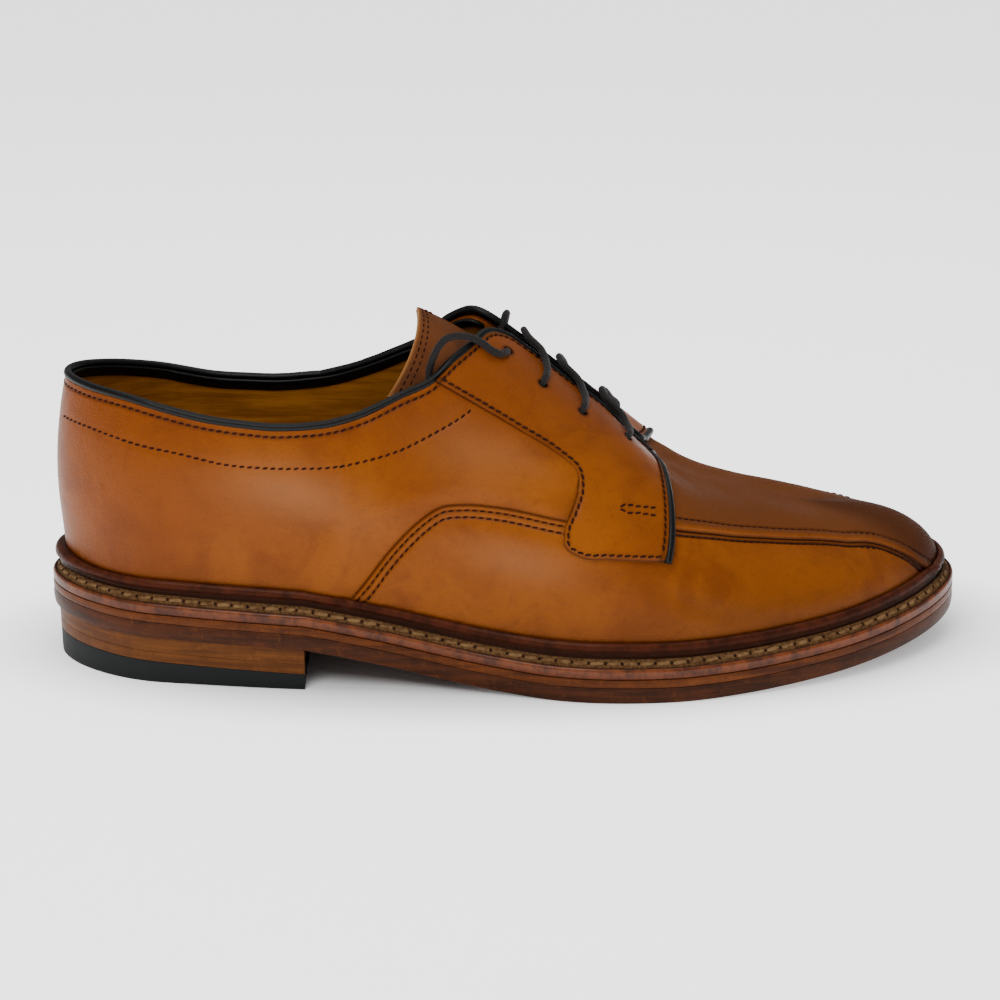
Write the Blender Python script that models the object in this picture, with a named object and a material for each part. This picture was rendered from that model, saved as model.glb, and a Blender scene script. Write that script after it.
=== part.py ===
"""A man's lace-up shoe with a bicycle toe: welted sole, stacked heel, open lacing. Right shoe.

Metres, +Z up, +X to the toe, -Y the outer (lateral) side. The origin is on the floor
under the middle of the heel's tread.

Every curved piece is read from two functions. outline() gives the sole's edge, and
surface() gives the upper's outside. A place on the upper is named by its side, by t
from the heel's back, 0, to the toe's tip, 1, and by w from the feather line where
upper and welt meet, 0, to the crest of the foot, 1.
"""
import bmesh
import bpy
import math
import numpy as np
from mathutils import Vector

MM = 0.001

# Driving sizes
SOLE_LENGTH = 310 * MM
BALL_WIDTH = 109 * MM
INSTEP_HEIGHT = 112 * MM
HEEL_HEIGHT = 14.0 * MM
HEEL_LENGTH = 86 * MM
HEEL_PITCH = math.radians(2.3)
TOE_SPRING = 10.5 * MM
HEEL_ROUND = 39 * MM
TOE_ROUND = 66 * MM

# Layers of the bottom, from the floor up
TOP_PIECE = 5.0 * MM
LIFT_UPPER = 5.0 * MM
OUTSOLE = 5.2 * MM
MIDSOLE = 3.4 * MM
WELT = 2.9 * MM
INSOLE = 6.0 * MM
HEEL_INSET = 1.5 * MM
WELT_MARGIN = 6.6 * MM
RIDGE_HEIGHT = 5.2 * MM
RIDGE_WIDTH = 2.0 * MM
# The ridge's section: shares of its width and height
RIDGE_SHAPE = dict(out=[1.0, 0.6, 0.1], up=[0.75, 1.0, 0.9])

# Leathers, trim and laces
UPPER_WALL = 2.0 * MM
FACING = 1.4 * MM
TONGUE = 1.6 * MM
PANEL_LAP = 1.0 * MM
WING_LAP = 0.8 * MM
SLOT_SETBACK = 1.5 * MM
BINDING_RADIUS = 1.2 * MM
LACE_RADIUS = 1.05 * MM
EYELET = 3.4 * MM
PUNCH_LENGTH = 16 * MM
GAP = 0.3 * MM
TAB_GAP = 0.4 * MM

LATERAL, MEDIAL = -1, 1
ORIGIN_X = HEEL_LENGTH / 2
LIFT_LOWER = HEEL_HEIGHT - TOP_PIECE - LIFT_UPPER - 3 * GAP

# Where the forefoot lies flat on the floor, as shares of the length
TREAD_START, TREAD_END = 0.545, 0.654

# How the sole curves: the arch's first slope in heel pitches, and the power of the toe's rise
ARCH_SLOPE, TOE_RISE = 4.2, 1.9

# Powers of the toe's round end, along the foot and across it
TOE_ALONG, TOE_ACROSS = 2.35, 2.1

# The sole seen from below: centre line and half width, in ball widths
PLAN = dict(
    station=[0.00, 0.10, 0.20, 0.28, 0.38, 0.48, 0.58, 0.66, 0.74, 0.82, 0.90, 1.00],
    centre=[0.019, 0.003, -0.024, -0.047, -0.066, -0.078, -0.082, -0.063, -0.028, 0.013, 0.044, 0.070],
    half=[0.281, 0.327, 0.359, 0.372, 0.371, 0.408, 0.477, 0.500, 0.490, 0.462, 0.426, 0.371],
)

# The crest runs between these shares of the length. Its height is in instep heights,
# its sideways place and the wall's bulge in ball widths, and square bends the section.
# The bulge's powers put its fullest place low and let it fade softly. A section leans, so near
# the crest, within this share of its way out, it also falls with the crest's own slope.
CREST_BACK, CREST_FRONT = 0.07, 0.862
BULGE_LOW, BULGE_SOFT = 0.75, 1.5
CREST_SOFT, CREST_STEP = 0.35, 0.02
SECTIONS = dict(
    station=[0.00, 0.15, 0.30, 0.42, 0.49, 0.55, 0.60, 0.65, 0.70, 0.75, 0.80, 0.87, 0.93, 0.965, 1.00],
    height=[1.06, 1.12, 1.13, 1.09, 1.018, .937, .850, .755, .642, .55, .495, .450, .415, .399, .392],
    centre=[0.00, 0.00, 0.01, 0.03, 0.04, 0.04, .035, 0.03, 0.03, .035, 0.04, 0.05, 0.06, .065, 0.07],
    square=[2.6, 2.6, 2.3, 2.0, 1.95, 1.95, 2.0, 2.05, 2.1, 2.15, 2.2, 2.2, 2.15, 2.1, 2.1],
    bulge=[.032, .030, .012, .008, .010, .012, .015, .018, .020, .020, .019, .017, .012, .010, .010],
)

# The collar's edge, a height w for each side
COLLAR = dict(
    station=[0.00, 0.04, 0.086, 0.13, 0.172, 0.212, 0.254, 0.31, 0.345, 0.382, 0.42, 0.445, 0.47, 0.495, 0.52],
    lateral=[.700, .645, .595, .552, .520, .502, .493, .515, .553, .612, .672, .735, .795, .870, .950],
    medial=[.700, .640, .585, .550, .528, .525, .532, .575, .628, .695, .770, .840, .900, .955, .990],
)

# Seams of the toe's centre panel and of the front piece's wing, a height w
THROAT = 0.675
SLOT_START, SLOT_ROUND = 0.47, 0.05
TAB_TOP, TAB_THROAT = 0.505, 0.708
PANEL_SEAM = dict(
    station=[0.00, 0.30, 0.50, 0.60, 0.672, 0.741, 0.819, 0.893, 0.94, 0.955, 0.968, 0.976, 1.00],
    w=[0.33, 0.30, 0.37, 0.41, 0.427, 0.457, 0.463, 0.427, 0.353, 0.263, 0.147, 0.083, -0.08],
)
WING_SEAM = dict(
    station=[0.00, 0.312, 0.328, 0.343, 0.361, 0.379, 0.400, 0.419, 0.444, 0.478, 0.55, 1.00],
    w=[-0.20, -0.02, 0.053, 0.110, 0.183, 0.247, 0.307, 0.347, 0.367, 0.377, 0.377, 0.40],
)
SEAM_HALF = 0.006
WING_HALF = 0.018
FOOT = 0.056
WING_FADE = 0.20
# Where the laps start or end along the foot: stations behind the throat, and half the change
PANEL_START, PANEL_EASE = 0.01, 0.01
WING_END, WING_EASE = 0.03, 0.03

# The lacing tab's four edges, as station and w
TAB_OUTER = dict(
    station=[.422, .459, .506, .550, .570, .570, .560, .549, .549, .562, .597, .655],
    w=[.665, .633, .593, .555, .520, .475, .410, .350, .305, .288, .292, .307],
)
# The lacing slot between the tabs, in mm from the crest to each tab's inner edge
SLOT = dict(
    station=[.505, .55, .60, .65, .707],
    lateral=[9.5, 9.8, 10.8, 10.8, 10.0],
    medial=[3.5, 4.5, 5.5, 5.5, 5.0],
)
TAB_FRONT = dict(
    station=[.648, .656, .666, .679, .698, .710],
    w=[.307, .37, .47, .60, .75, .88],
)

# Where a tab lifts to pass over the toe panel and over the wing, in station and in w
COVER_START, COVER_EASE, COVER_WING = 0.055, 0.03, 0.05

# Eyelets, from the top down, in mm back from the tab's inner edge
EYELETS = dict(
    station=[0.516, 0.552, 0.598, 0.653],
    back=[10.5, 17.7, 19.2, 17.2],
)
# How far before a tab's outer corner the bead starts to climb onto it, in station
BINDING_CLIMB = 0.03

# The tongue from its tip to its root: half width in w, depth under the upper's outside.
# Towards its edges it rises by the share TONGUE_CURL of that depth.
TONGUE_CURL = 0.25
TONGUE_ROWS = dict(
    station=[0.425, 0.46, 0.50, 0.55, 0.60, 0.66, 0.73],
    half=[0.38, 0.35, 0.29, 0.24, 0.20, 0.18, 0.15],
    depth=[3.8, 5.0, 5.4, 4.6, 3.6, 2.4, 1.2],
    slant=[0.035, 0.03, 0.02, 0.01, 0.0, 0.0, 0.0],
)

# Free ends of the lace. reach crosses the foot from -1, lateral, through the crest at 0;
# lift is in mm over the upper's outside.
LACE_END_LATERAL = dict(
    station=[.516, .508, .498, .487, .477, .468, .460, .453, .447, .442, .438, .435],
    reach=[-.175, -.195, -.207, -.207, -.195, -.172, -.155, -.165, -.200, -.245, -.290, -.335],
    lift=[3.3, 3.3, 3.4, 3.7, 3.9, 3.5, 2.0, -0.8, -2.9, -3.4, -3.4, -3.4],
)
LACE_END_MEDIAL = dict(
    station=[.516, .515, .514, .513, .511, .508, .504, .499, .492, .484, .476],
    reach=[.105, .082, .054, .028, .004, -.016, -.028, -.033, -.034, -.034, -.034],
    lift=[3.3, 3.9, 4.6, 5.0, 4.4, 2.0, -1.2, -3.8, -5.2, -5.4, -5.2],
)

# Grid counts
LINES_HEEL, LINES_ARCH, LINES_TREAD, LINES_THROAT, LINES_TOE = 11, 9, 5, 1, 15
ROWS_LOW, ROWS_HIGH = 6, 6
TAB_ALONG, TAB_ACROSS = 24, 9
BINDING_COLLAR, BINDING_EDGE = 20, 16
TONGUE_ALONG, TONGUE_ACROSS = 14, 10
BAR_POINTS = 17
SECTION_SAMPLES = 49
ROUND_SIDES = 12


def smooth(x, xs, ys):
    """A smooth curve through table points: cubic Hermite, its slopes weighted by the spans."""
    xs, ys = np.asarray(xs, float), np.asarray(ys, float)
    span = np.diff(xs)
    chord = np.diff(ys) / span
    slope = np.empty_like(ys)
    slope[0], slope[-1] = chord[0], chord[-1]
    slope[1:-1] = (chord[:-1] * span[1:] + chord[1:] * span[:-1]) / (span[1:] + span[:-1])
    x = np.clip(x, xs[0], xs[-1])
    i = np.clip(np.searchsorted(xs, x, side="right") - 1, 0, len(xs) - 2)
    s = (x - xs[i]) / span[i]
    start = ys[i] * (1 + 2 * s) * (1 - s) ** 2 + slope[i] * span[i] * s * (1 - s) ** 2
    end = ys[i + 1] * s * s * (3 - 2 * s) + slope[i + 1] * span[i] * s * s * (s - 1)
    return start + end


def column(table, name, station):
    """One column of a table, at any station between its rows."""
    return smooth(station, table["station"], table[name])


def ramp(x):
    """0 below -1, 1 above 1, and an S-curve between."""
    x = np.clip((x + 1) / 2, 0, 1)
    return x * x * (3 - 2 * x)


def station_of(t):
    """The share of the length at t. Lines crowd towards both ends, where the outline turns."""
    return (1 - np.cos(np.pi * t)) / 2


def t_of(station):
    """The t of a station."""
    return np.arccos(1 - 2 * np.asarray(station, float)) / np.pi


def sole_edge(side, t):
    """The sole's edge: centre line plus half width, with round ends. Below 0 and above 1, t mirrors."""
    station = station_of(t)
    x = SOLE_LENGTH * station
    back = np.clip(1 - x / HEEL_ROUND, 0, 1)
    front = np.clip(1 - (SOLE_LENGTH - x) / TOE_ROUND, 0, 1)
    half = column(PLAN, "half", station) * BALL_WIDTH
    half = half * np.sqrt(1 - back ** 2) * (1 - front ** TOE_ALONG) ** (1 / TOE_ACROSS)
    centre = column(PLAN, "centre", station) * BALL_WIDTH
    return x, centre + side * np.sign(np.sin(np.pi * t)) * half


def outline(side, t, inset=0.0):
    """The sole's edge moved in by inset, and the outward direction there."""
    x, y = sole_edge(side, t)
    xa, ya = sole_edge(side, t - 1e-4)
    xb, yb = sole_edge(side, t + 1e-4)
    length = np.hypot(xb - xa, yb - ya)
    nx, ny = -side * (yb - ya) / length, side * (xb - xa) / length
    return x - nx * inset, y - ny * inset, nx, ny


def sole_rise(x):
    """Height of the outsole's underside over the floor: heel pitch, arch, flat tread, toe spring."""
    start, end = TREAD_START * SOLE_LENGTH, TREAD_END * SOLE_LENGTH
    pitch = math.tan(HEEL_PITCH)
    heel = HEEL_HEIGHT + pitch * (HEEL_LENGTH - x)
    q = np.clip((x - HEEL_LENGTH) / (start - HEEL_LENGTH), 0, 1)
    arch = HEEL_HEIGHT * (1 + 2 * q) * (1 - q) ** 2
    arch = arch - ARCH_SLOPE * pitch * (start - HEEL_LENGTH) * q * (1 - q) ** 2
    toe = TOE_SPRING * np.clip((x - end) / (SOLE_LENGTH - end), 0, 1) ** TOE_RISE
    return np.where(x < HEEL_LENGTH, heel, np.where(x < start, arch, toe))


def welt_top(x):
    """Height of the welt's flat top."""
    return sole_rise(x) + OUTSOLE + MIDSOLE + WELT + 2 * GAP


def crest_slope(station):
    """How much the crest rises for each length forward."""
    back, ahead = np.maximum(station - CREST_STEP, 0), np.minimum(station + CREST_STEP, 1)
    rise = (column(SECTIONS, "height", ahead) - column(SECTIONS, "height", back)) * INSTEP_HEIGHT
    return rise / (SOLE_LENGTH * (CREST_FRONT - CREST_BACK) * (ahead - back))


def section_points(side, t, w):
    """Points of the last, and the girth of each section from feather line to crest.

    A section is a quarter of a superellipse from the feather line up to the crest,
    with a bulge along the outline's outward direction. w is a share of its length.
    """
    station = station_of(t)
    fx, fy, nx, ny = outline(side, t, WELT_MARGIN)
    fz = welt_top(fx) + GAP
    cx = SOLE_LENGTH * (CREST_BACK + (CREST_FRONT - CREST_BACK) * station)
    cy = column(SECTIONS, "centre", station) * BALL_WIDTH
    cz = column(SECTIONS, "height", station) * INSTEP_HEIGHT
    square = column(SECTIONS, "square", station)[:, None]
    bulge = column(SECTIONS, "bulge", station)[:, None] * BALL_WIDTH
    angle = np.linspace(0, np.pi / 2, SECTION_SAMPLES)[None, :]
    up = np.sin(angle) ** (2 / square)
    out = np.maximum(np.cos(angle), 0) ** (2 / square)
    out[:, -1] = 0
    swell = np.sin(np.pi * np.minimum(up, 1) ** BULGE_LOW) ** BULGE_SOFT * bulge
    swell[:, -1] = 0
    x = cx[:, None] + (fx - cx)[:, None] * out + nx[:, None] * swell
    y = cy[:, None] + (fy - cy)[:, None] * out + ny[:, None] * swell
    fall = (fx - cx)[:, None] * out * crest_slope(station)[:, None] * np.exp(-(out / CREST_SOFT) ** 2)
    z = fz[:, None] + (cz - fz)[:, None] * up + fall
    points = np.stack([x, y, z], -1)
    step = np.linalg.norm(np.diff(points, axis=1), axis=-1)
    run = np.concatenate([np.zeros((len(t), 1)), np.cumsum(step, 1)], 1)
    girth = run[:, -1]
    run = run / girth[:, None]
    i = np.clip((run <= w[:, None]).sum(1) - 1, 0, SECTION_SAMPLES - 2)
    k = np.arange(len(t))
    f = ((w - run[k, i]) / (run[k, i + 1] - run[k, i]))[:, None]
    return points[k, i] * (1 - f) + points[k, i + 1] * f, girth


def surface(side, t, w, offset=0.0):
    """The upper's outside at (t, w), moved out by offset along its normal."""
    side, t, w, offset = np.broadcast_arrays(np.asarray(side, float), t, w, offset)
    shape = t.shape
    side, t, w, offset = (np.array(q, float).ravel() for q in (side, t, w, offset))

    pole = np.sin(np.pi * t) < 1e-6

    def at(dt, dw, start=w):
        v = start + dw
        over = v > 1
        return section_points(np.where(over, -side, side), t + dt, np.where(over, 2 - v, np.maximum(v, 0)))[0]

    points = at(0, 0)
    # at either end of the crest the lines meet in a point, so the normal is read just below it
    near = np.where(pole, np.minimum(w, 0.98), w)
    along_t = at(2e-3, 0, near) - at(-2e-3, 0, near)
    along_w = at(0, 8e-3, near) - at(0, -8e-3, near)
    normal = np.cross(along_t, along_w) * -side[:, None]
    normal /= np.linalg.norm(normal, axis=-1)[:, None]
    return (points + normal * offset[:, None]).reshape(shape + (3,))


def girth(side, t):
    """Length of the section at t, from feather line to crest."""
    t = np.asarray(t, float)
    return section_points(np.full(t.shape, float(side)), t, np.zeros(t.shape))[1]


def lap(t, w):
    """How far the leather stands out: the toe's centre panel, and the wing's edge over the quarter.

    Both thin out to nothing at the foot, below FOOT, where the welt grips them.
    """
    station = station_of(t)
    panel = ramp((w - column(PANEL_SEAM, "w", station)) / SEAM_HALF)
    panel = PANEL_LAP * panel * ramp((station - THROAT + PANEL_START) / PANEL_EASE)
    under = column(WING_SEAM, "w", station) - w
    wing = WING_LAP * ramp(under / WING_HALF) * (1 - ramp(2 * under / WING_FADE - 1))
    wing = wing * (1 - ramp((station - THROAT + WING_END) / WING_EASE))
    return (panel + wing) * ramp(2 * w / FOOT - 3)


def name_of(side):
    """The side's name, as the tables' columns have it."""
    return "lateral" if side == LATERAL else "medial"


def slot_edge(side, t, setback=0.0):
    """The w of a tab's inner edge, moved away from the crest by setback."""
    return 1 - (column(SLOT, name_of(side), station_of(t)) * MM + setback) / girth(side, t)


def top_edge(side, t):
    """The w where the upper ends: the collar, then the lacing slot up to the throat, then the crest."""
    station = station_of(t)
    collar = column(COLLAR, name_of(side), station)
    left = np.clip((THROAT - station) / SLOT_ROUND, 0, 1)
    slot = 1 - (1 - slot_edge(side, t, SLOT_SETBACK)) * np.sqrt(1 - (1 - left) ** 2)
    edge = np.where(station < SLOT_START, collar, np.minimum(collar, slot))
    return np.where(station < THROAT - 1e-9, edge, 1.0)


def lines():
    """The lines from heel to toe that all curved layers share, one at each change of slope."""
    stations = (0, HEEL_LENGTH / SOLE_LENGTH, TREAD_START, TREAD_END, THROAT, 1)
    counts = (LINES_HEEL, LINES_ARCH, LINES_TREAD, LINES_THROAT, LINES_TOE)
    ends = t_of(stations)
    spans = [np.linspace(a, b, count + 1)[:-1] for a, b, count in zip(ends[:-1], ends[1:], counts)]
    return np.concatenate(spans + [[1.0]])


def frame_x(points):
    """Shifts points measured from the heel's back to the part's origin."""
    return points - np.array([ORIGIN_X, 0.0, 0.0])


def collection(name):
    """A collection in the scene, made when it is missing."""
    if name not in bpy.data.collections:
        bpy.context.scene.collection.children.link(bpy.data.collections.new(name))
    return bpy.data.collections[name]


def material(name, colour, roughness, metallic=0.0):
    """A plain Principled material."""
    made = bpy.data.materials.get(name) or bpy.data.materials.new(name)
    made.use_nodes = True
    shader = made.node_tree.nodes["Principled BSDF"]
    shader.inputs["Base Color"].default_value = (*colour, 1)
    shader.inputs["Roughness"].default_value = roughness
    shader.inputs["Metallic"].default_value = metallic
    return made


CALF = ("tan calf", (0.42, 0.15, 0.025), 0.35)
SOLE_LEATHER = ("red brown sole leather", (0.16, 0.045, 0.018), 0.4)
LIFT_LEATHER = ("stacked leather", (0.33, 0.11, 0.03), 0.45)
RUBBER = ("black rubber", (0.012, 0.012, 0.012), 0.6)
LINING = ("lining leather", (0.50, 0.25, 0.07), 0.6)
EDGE_BLACK = ("black binding", (0.01, 0.01, 0.01), 0.4)
LACE_BLACK = ("black waxed cotton", (0.01, 0.01, 0.01), 0.8)


def solid(name, points, faces, finish):
    """One closed object from points in the heel-back frame, with doubles merged and faces out."""
    mesh = bpy.data.meshes.new(name)
    mesh.from_pydata(frame_x(np.asarray(points)).tolist(), [], faces)
    bm = bmesh.new()
    bm.from_mesh(mesh)
    bmesh.ops.remove_doubles(bm, verts=bm.verts, dist=1e-6)
    bmesh.ops.dissolve_degenerate(bm, edges=bm.edges, dist=1e-7)
    bmesh.ops.triangulate(bm, faces=bm.faces)
    bmesh.ops.recalc_face_normals(bm, faces=bm.faces)
    bm.to_mesh(mesh)
    bm.free()
    mesh.materials.append(material(*finish))
    mesh.shade_smooth()
    mesh.set_sharp_from_angle(angle=math.radians(35))
    made = bpy.data.objects.new(name, mesh)
    collection("bicycle_toe_shoe").objects.link(made)
    return made


def grid_faces(rows, columns, start=0, flip=False):
    """Quads of a grid of points listed row by row."""
    faces = []
    for i in range(rows - 1):
        for j in range(columns - 1):
            a = start + i * columns + j
            quad = (a, a + 1, a + columns + 1, a + columns)
            faces.append(quad[::-1] if flip else quad)
    return faces


def sheet_solid(name, outer, inner, finish):
    """A wall between two grids of the same counts, closed along its four edges."""
    rows, columns = outer.shape[:2]
    count = rows * columns
    index = np.arange(count).reshape(rows, columns)
    rim = np.concatenate([index[0], index[1:, -1], index[-1, -2::-1], index[-2:0:-1, 0]])
    faces = grid_faces(rows, columns) + grid_faces(rows, columns, count, flip=True)
    for a, b in zip(rim, np.roll(rim, -1)):
        faces.append((int(b), int(a), int(a) + count, int(b) + count))
    return solid(name, np.concatenate([outer.reshape(-1, 3), inner.reshape(-1, 3)]), faces, finish)


def plate(name, inset, bottom, top, finish, end=1.0):
    """A layer of the sole: the outline moved in by inset, between two heights worked out from x.

    end below 1 cuts the layer off square at the heel's breast.
    """
    t = lines()
    t = t[t <= end + 1e-9]
    grids = []
    for height in (top, bottom):
        rows = []
        for side in (LATERAL, MEDIAL):
            x, y, _, _ = outline(side, t, inset)
            if end < 1:
                x[-1] = HEEL_LENGTH
            rows.append(np.stack([x, y, height(x)], -1))
        grids.append(np.stack(rows, 1))
    return sheet_solid(name, grids[0], grids[1], finish)


def heel_plane(level):
    """A height inside the heel, parallel to the outsole's underside there."""
    return lambda x: level + math.tan(HEEL_PITCH) * (HEEL_LENGTH - x)


def build_heel():
    """Rubber top piece with a flat tread, and two leather lifts that carry the pitch."""
    end = float(t_of(HEEL_LENGTH / SOLE_LENGTH))
    plate("heel_top_piece", HEEL_INSET, lambda x: 0 * x, heel_plane(TOP_PIECE), RUBBER, end)
    low = TOP_PIECE + GAP
    plate("heel_lift_lower", HEEL_INSET, heel_plane(low), heel_plane(low + LIFT_LOWER), LIFT_LEATHER, end)
    low = low + LIFT_LOWER + GAP
    plate("heel_lift_upper", HEEL_INSET, heel_plane(low), heel_plane(low + LIFT_UPPER), LIFT_LEATHER, end)


def build_sole():
    """Outsole, midsole and the insole that lies on it inside the welt."""
    over = OUTSOLE + GAP
    plate("outsole", 0, sole_rise, lambda x: sole_rise(x) + OUTSOLE, SOLE_LEATHER)
    plate("midsole", 0, lambda x: sole_rise(x) + over, lambda x: sole_rise(x) + over + MIDSOLE, LIFT_LEATHER)
    inset = WELT_MARGIN + UPPER_WALL + 3 * GAP
    low = over + MIDSOLE + GAP
    plate("insole", inset, lambda x: sole_rise(x) + low, lambda x: sole_rise(x) + low + INSOLE, LINING)


def build_welt():
    """A closed ring: a flat strip on the midsole, and a storm ridge that follows the upper's foot."""
    t = lines()
    loops = []
    for side in (LATERAL, MEDIAL):
        def flat(inset, height):
            x, y, _, _ = outline(side, t, inset)
            return np.stack([x, y, welt_top(x) - WELT + height], -1)

        def ridge(out, height):
            w = height / girth(side, t)
            return surface(side, t, w, lap(t, w) + GAP + out)

        inner = WELT_MARGIN + UPPER_WALL
        section = [
            flat(0, 0), flat(0, WELT), flat(WELT_MARGIN - RIDGE_WIDTH - 2 * GAP, WELT),
            *(ridge(RIDGE_WIDTH * out, RIDGE_HEIGHT * up) for out, up in zip(*RIDGE_SHAPE.values())),
            ridge(0, 2 * GAP), flat(WELT_MARGIN - GAP, WELT), flat(inner, WELT), flat(inner, 0),
        ]
        loops.append(np.stack(section, 1))
    ring = np.concatenate([loops[0], loops[1][-2:0:-1]])
    rows, columns = ring.shape[:2]
    faces = []
    for i in range(rows):
        for j in range(columns):
            a, b = i * columns, (i + 1) % rows * columns
            k = (j + 1) % columns
            faces.append((a + j, b + j, b + k, a + k))
    return solid("storm_welt", ring.reshape(-1, 3), faces, SOLE_LEATHER)


def upper_rows(side, t):
    """Heights w of the upper's rows: two close rows hug the toe panel's seam."""
    seam = np.maximum(column(PANEL_SEAM, "w", station_of(t)), 2 * FOOT)
    low = FOOT + np.linspace(0, 1, ROWS_LOW)[None, :] * (seam - SEAM_HALF - FOOT)[:, None]
    low = np.concatenate([np.zeros((len(t), 1)), low], 1)
    top = top_edge(side, t)
    start = seam + SEAM_HALF
    high = start[:, None] + np.linspace(0, 1, ROWS_HIGH + 1)[None, :] * (top - start)[:, None]
    return np.concatenate([low, high], 1)


def build_upper():
    """One hollow wall round both sides: open below, at the collar and along the lacing slot."""
    t = lines()
    points, faces = [], []
    for side in (LATERAL, MEDIAL):
        w = upper_rows(side, t)
        line = np.broadcast_to(t[:, None], w.shape)
        for skin, offset in enumerate((lap(line, w), -UPPER_WALL)):
            start = sum(len(p) for p in points)
            grid = surface(side, line, w, offset)
            grid[:, 0, 2] = welt_top(grid[:, 0, 0]) + GAP
            points.append(grid.reshape(-1, 3))
            faces += grid_faces(*w.shape, start, flip=(side == LATERAL) == (skin == 1))
        count = w.size
        outer = start - count
        index = np.arange(count).reshape(w.shape)
        for edge in (index[:, 0], index[station_of(t) < THROAT + 1e-9, -1]):
            for a, b in zip(edge[:-1], edge[1:]):
                faces.append((outer + int(a), outer + int(b), start + int(b), start + int(a)))
    upper = solid("upper", np.concatenate(points), faces, CALF)
    for side in (LATERAL, MEDIAL):
        cut_eyelets(upper, side)
    return upper


def along(table, count):
    """count points on a table's (station, w) curve, evenly spaced by length."""
    station, w = np.array(table["station"]), np.array(table["w"])
    run = np.concatenate([[0], np.cumsum(np.hypot(np.diff(station) * 2.5, np.diff(w)))])
    share = np.linspace(0, run[-1], count)
    return np.stack([smooth(share, run, station), smooth(share, run, w)], -1)


def tab_top(side, count):
    """The tab's top edge, which is the collar's from the tab's outer corner to its inner one."""
    station = np.linspace(TAB_OUTER["station"][0], TAB_TOP, count)
    collar = column(COLLAR, name_of(side), station)
    return np.stack([station, np.minimum(collar, slot_edge(side, t_of(station)))], -1)


def tab_inner(side, count):
    """The tab's inner edge, along the lacing slot."""
    station = np.linspace(TAB_TOP, TAB_THROAT, count)
    return np.stack([station, slot_edge(side, t_of(station))], -1)


def tab_patch(side, rows=TAB_ALONG + 1, columns=TAB_ACROSS + 1):
    """The lacing tab as a Coons patch between its four edges, in (station, w)."""
    top, front = tab_top(side, columns), along(TAB_FRONT, columns)
    outer, inner = along(TAB_OUTER, rows), tab_inner(side, rows)
    outer = outer + (top[0] - outer[0]) * np.linspace(1, 0, rows)[:, None] ** 2
    inner = inner + (top[-1] - inner[0]) * np.linspace(1, 0, rows)[:, None] ** 2
    front = front + (inner[-1] - front[-1]) * np.linspace(0, 1, columns)[:, None]
    s = np.linspace(0, 1, rows)[:, None, None]
    u = np.linspace(0, 1, columns)[None, :, None]
    across = outer[:, None] * (1 - u) + inner[:, None] * u
    down = top[None] * (1 - s) + front[None] * s
    corners = (top[0] * (1 - s) + front[0] * s) * (1 - u) + (top[-1] * (1 - s) + inner[-1] * s) * u
    return across + down - corners


def tab_rest(t, w):
    """How far a tab's underside stands off the upper: a smooth cover over the seams beneath it."""
    station = station_of(t)
    over_panel = ramp((station - THROAT + COVER_START) / COVER_EASE)
    over_wing = ramp((column(WING_SEAM, "w", station) - w) / COVER_WING + 1)
    return TAB_GAP + PANEL_LAP * np.maximum(over_panel, over_wing)


def eyelets(side):
    """The eyelets' stations and w on one side, from the top down."""
    station = np.array(EYELETS["station"])
    t = t_of(station)
    return station, slot_edge(side, t, np.array(EYELETS["back"]) * MM)


def cut_eyelets(target, side):
    """Punches the four holes of one side with a joined set of round cutters."""
    bm = bmesh.new()
    for station, w in zip(*eyelets(side)):
        centre = surface(side, t_of(station), w)
        out = surface(side, t_of(station), w, MM) - centre
        turn = Vector(out).to_track_quat("Z", "Y").to_matrix().to_4x4()
        turn.translation = Vector(frame_x(centre))
        bmesh.ops.create_cone(bm, cap_ends=True, segments=ROUND_SIDES, radius1=EYELET / 2, radius2=EYELET / 2,
                              depth=PUNCH_LENGTH, matrix=turn)
    name = "eyelet_cutter_" + name_of(side)
    cutter = bpy.data.objects.get(name)
    if cutter is None:
        mesh = bpy.data.meshes.new(name)
        bm.to_mesh(mesh)
        cutter = bpy.data.objects.new(name, mesh)
        cutter.hide_render = True
        cutter.display_type = "WIRE"
        collection("cutters").objects.link(cutter)
    bm.free()
    cut = target.modifiers.new(name, "BOOLEAN")
    cut.operation = "DIFFERENCE"
    cut.object = cutter
    return cut


def build_tabs():
    """The two lacing tabs, each a leather piece over the upper with four punched holes."""
    for side in (LATERAL, MEDIAL):
        patch = tab_patch(side)
        t, w = t_of(patch[..., 0]), patch[..., 1]
        rest = tab_rest(t, w)
        outer, inner = surface(side, t, w, rest + FACING), surface(side, t, w, rest)
        tab = sheet_solid("facing_" + name_of(side), outer, inner, CALF)
        cut_eyelets(tab, side)


def build_tongue():
    """A bent sheet under the lacing slot. Its free end slants back towards its two edges."""
    station = np.linspace(TONGUE_ROWS["station"][0], TONGUE_ROWS["station"][-1], TONGUE_ALONG + 1)[:, None]
    across = np.linspace(-1, 1, TONGUE_ACROSS + 1)[None, :]
    reach = column(TONGUE_ROWS, "half", station) * across
    side = np.where(across < 0, LATERAL, MEDIAL) + 0 * station
    line = t_of(station - column(TONGUE_ROWS, "slant", station) * across ** 2)
    depth = UPPER_WALL + column(TONGUE_ROWS, "depth", station) * MM * (1 - TONGUE_CURL * across ** 2)
    outer = surface(side, line, 1 - np.abs(reach), -depth)
    inner = surface(side, line, 1 - np.abs(reach), -depth - TONGUE)
    return sheet_solid("tongue", outer, inner, CALF)


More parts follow.
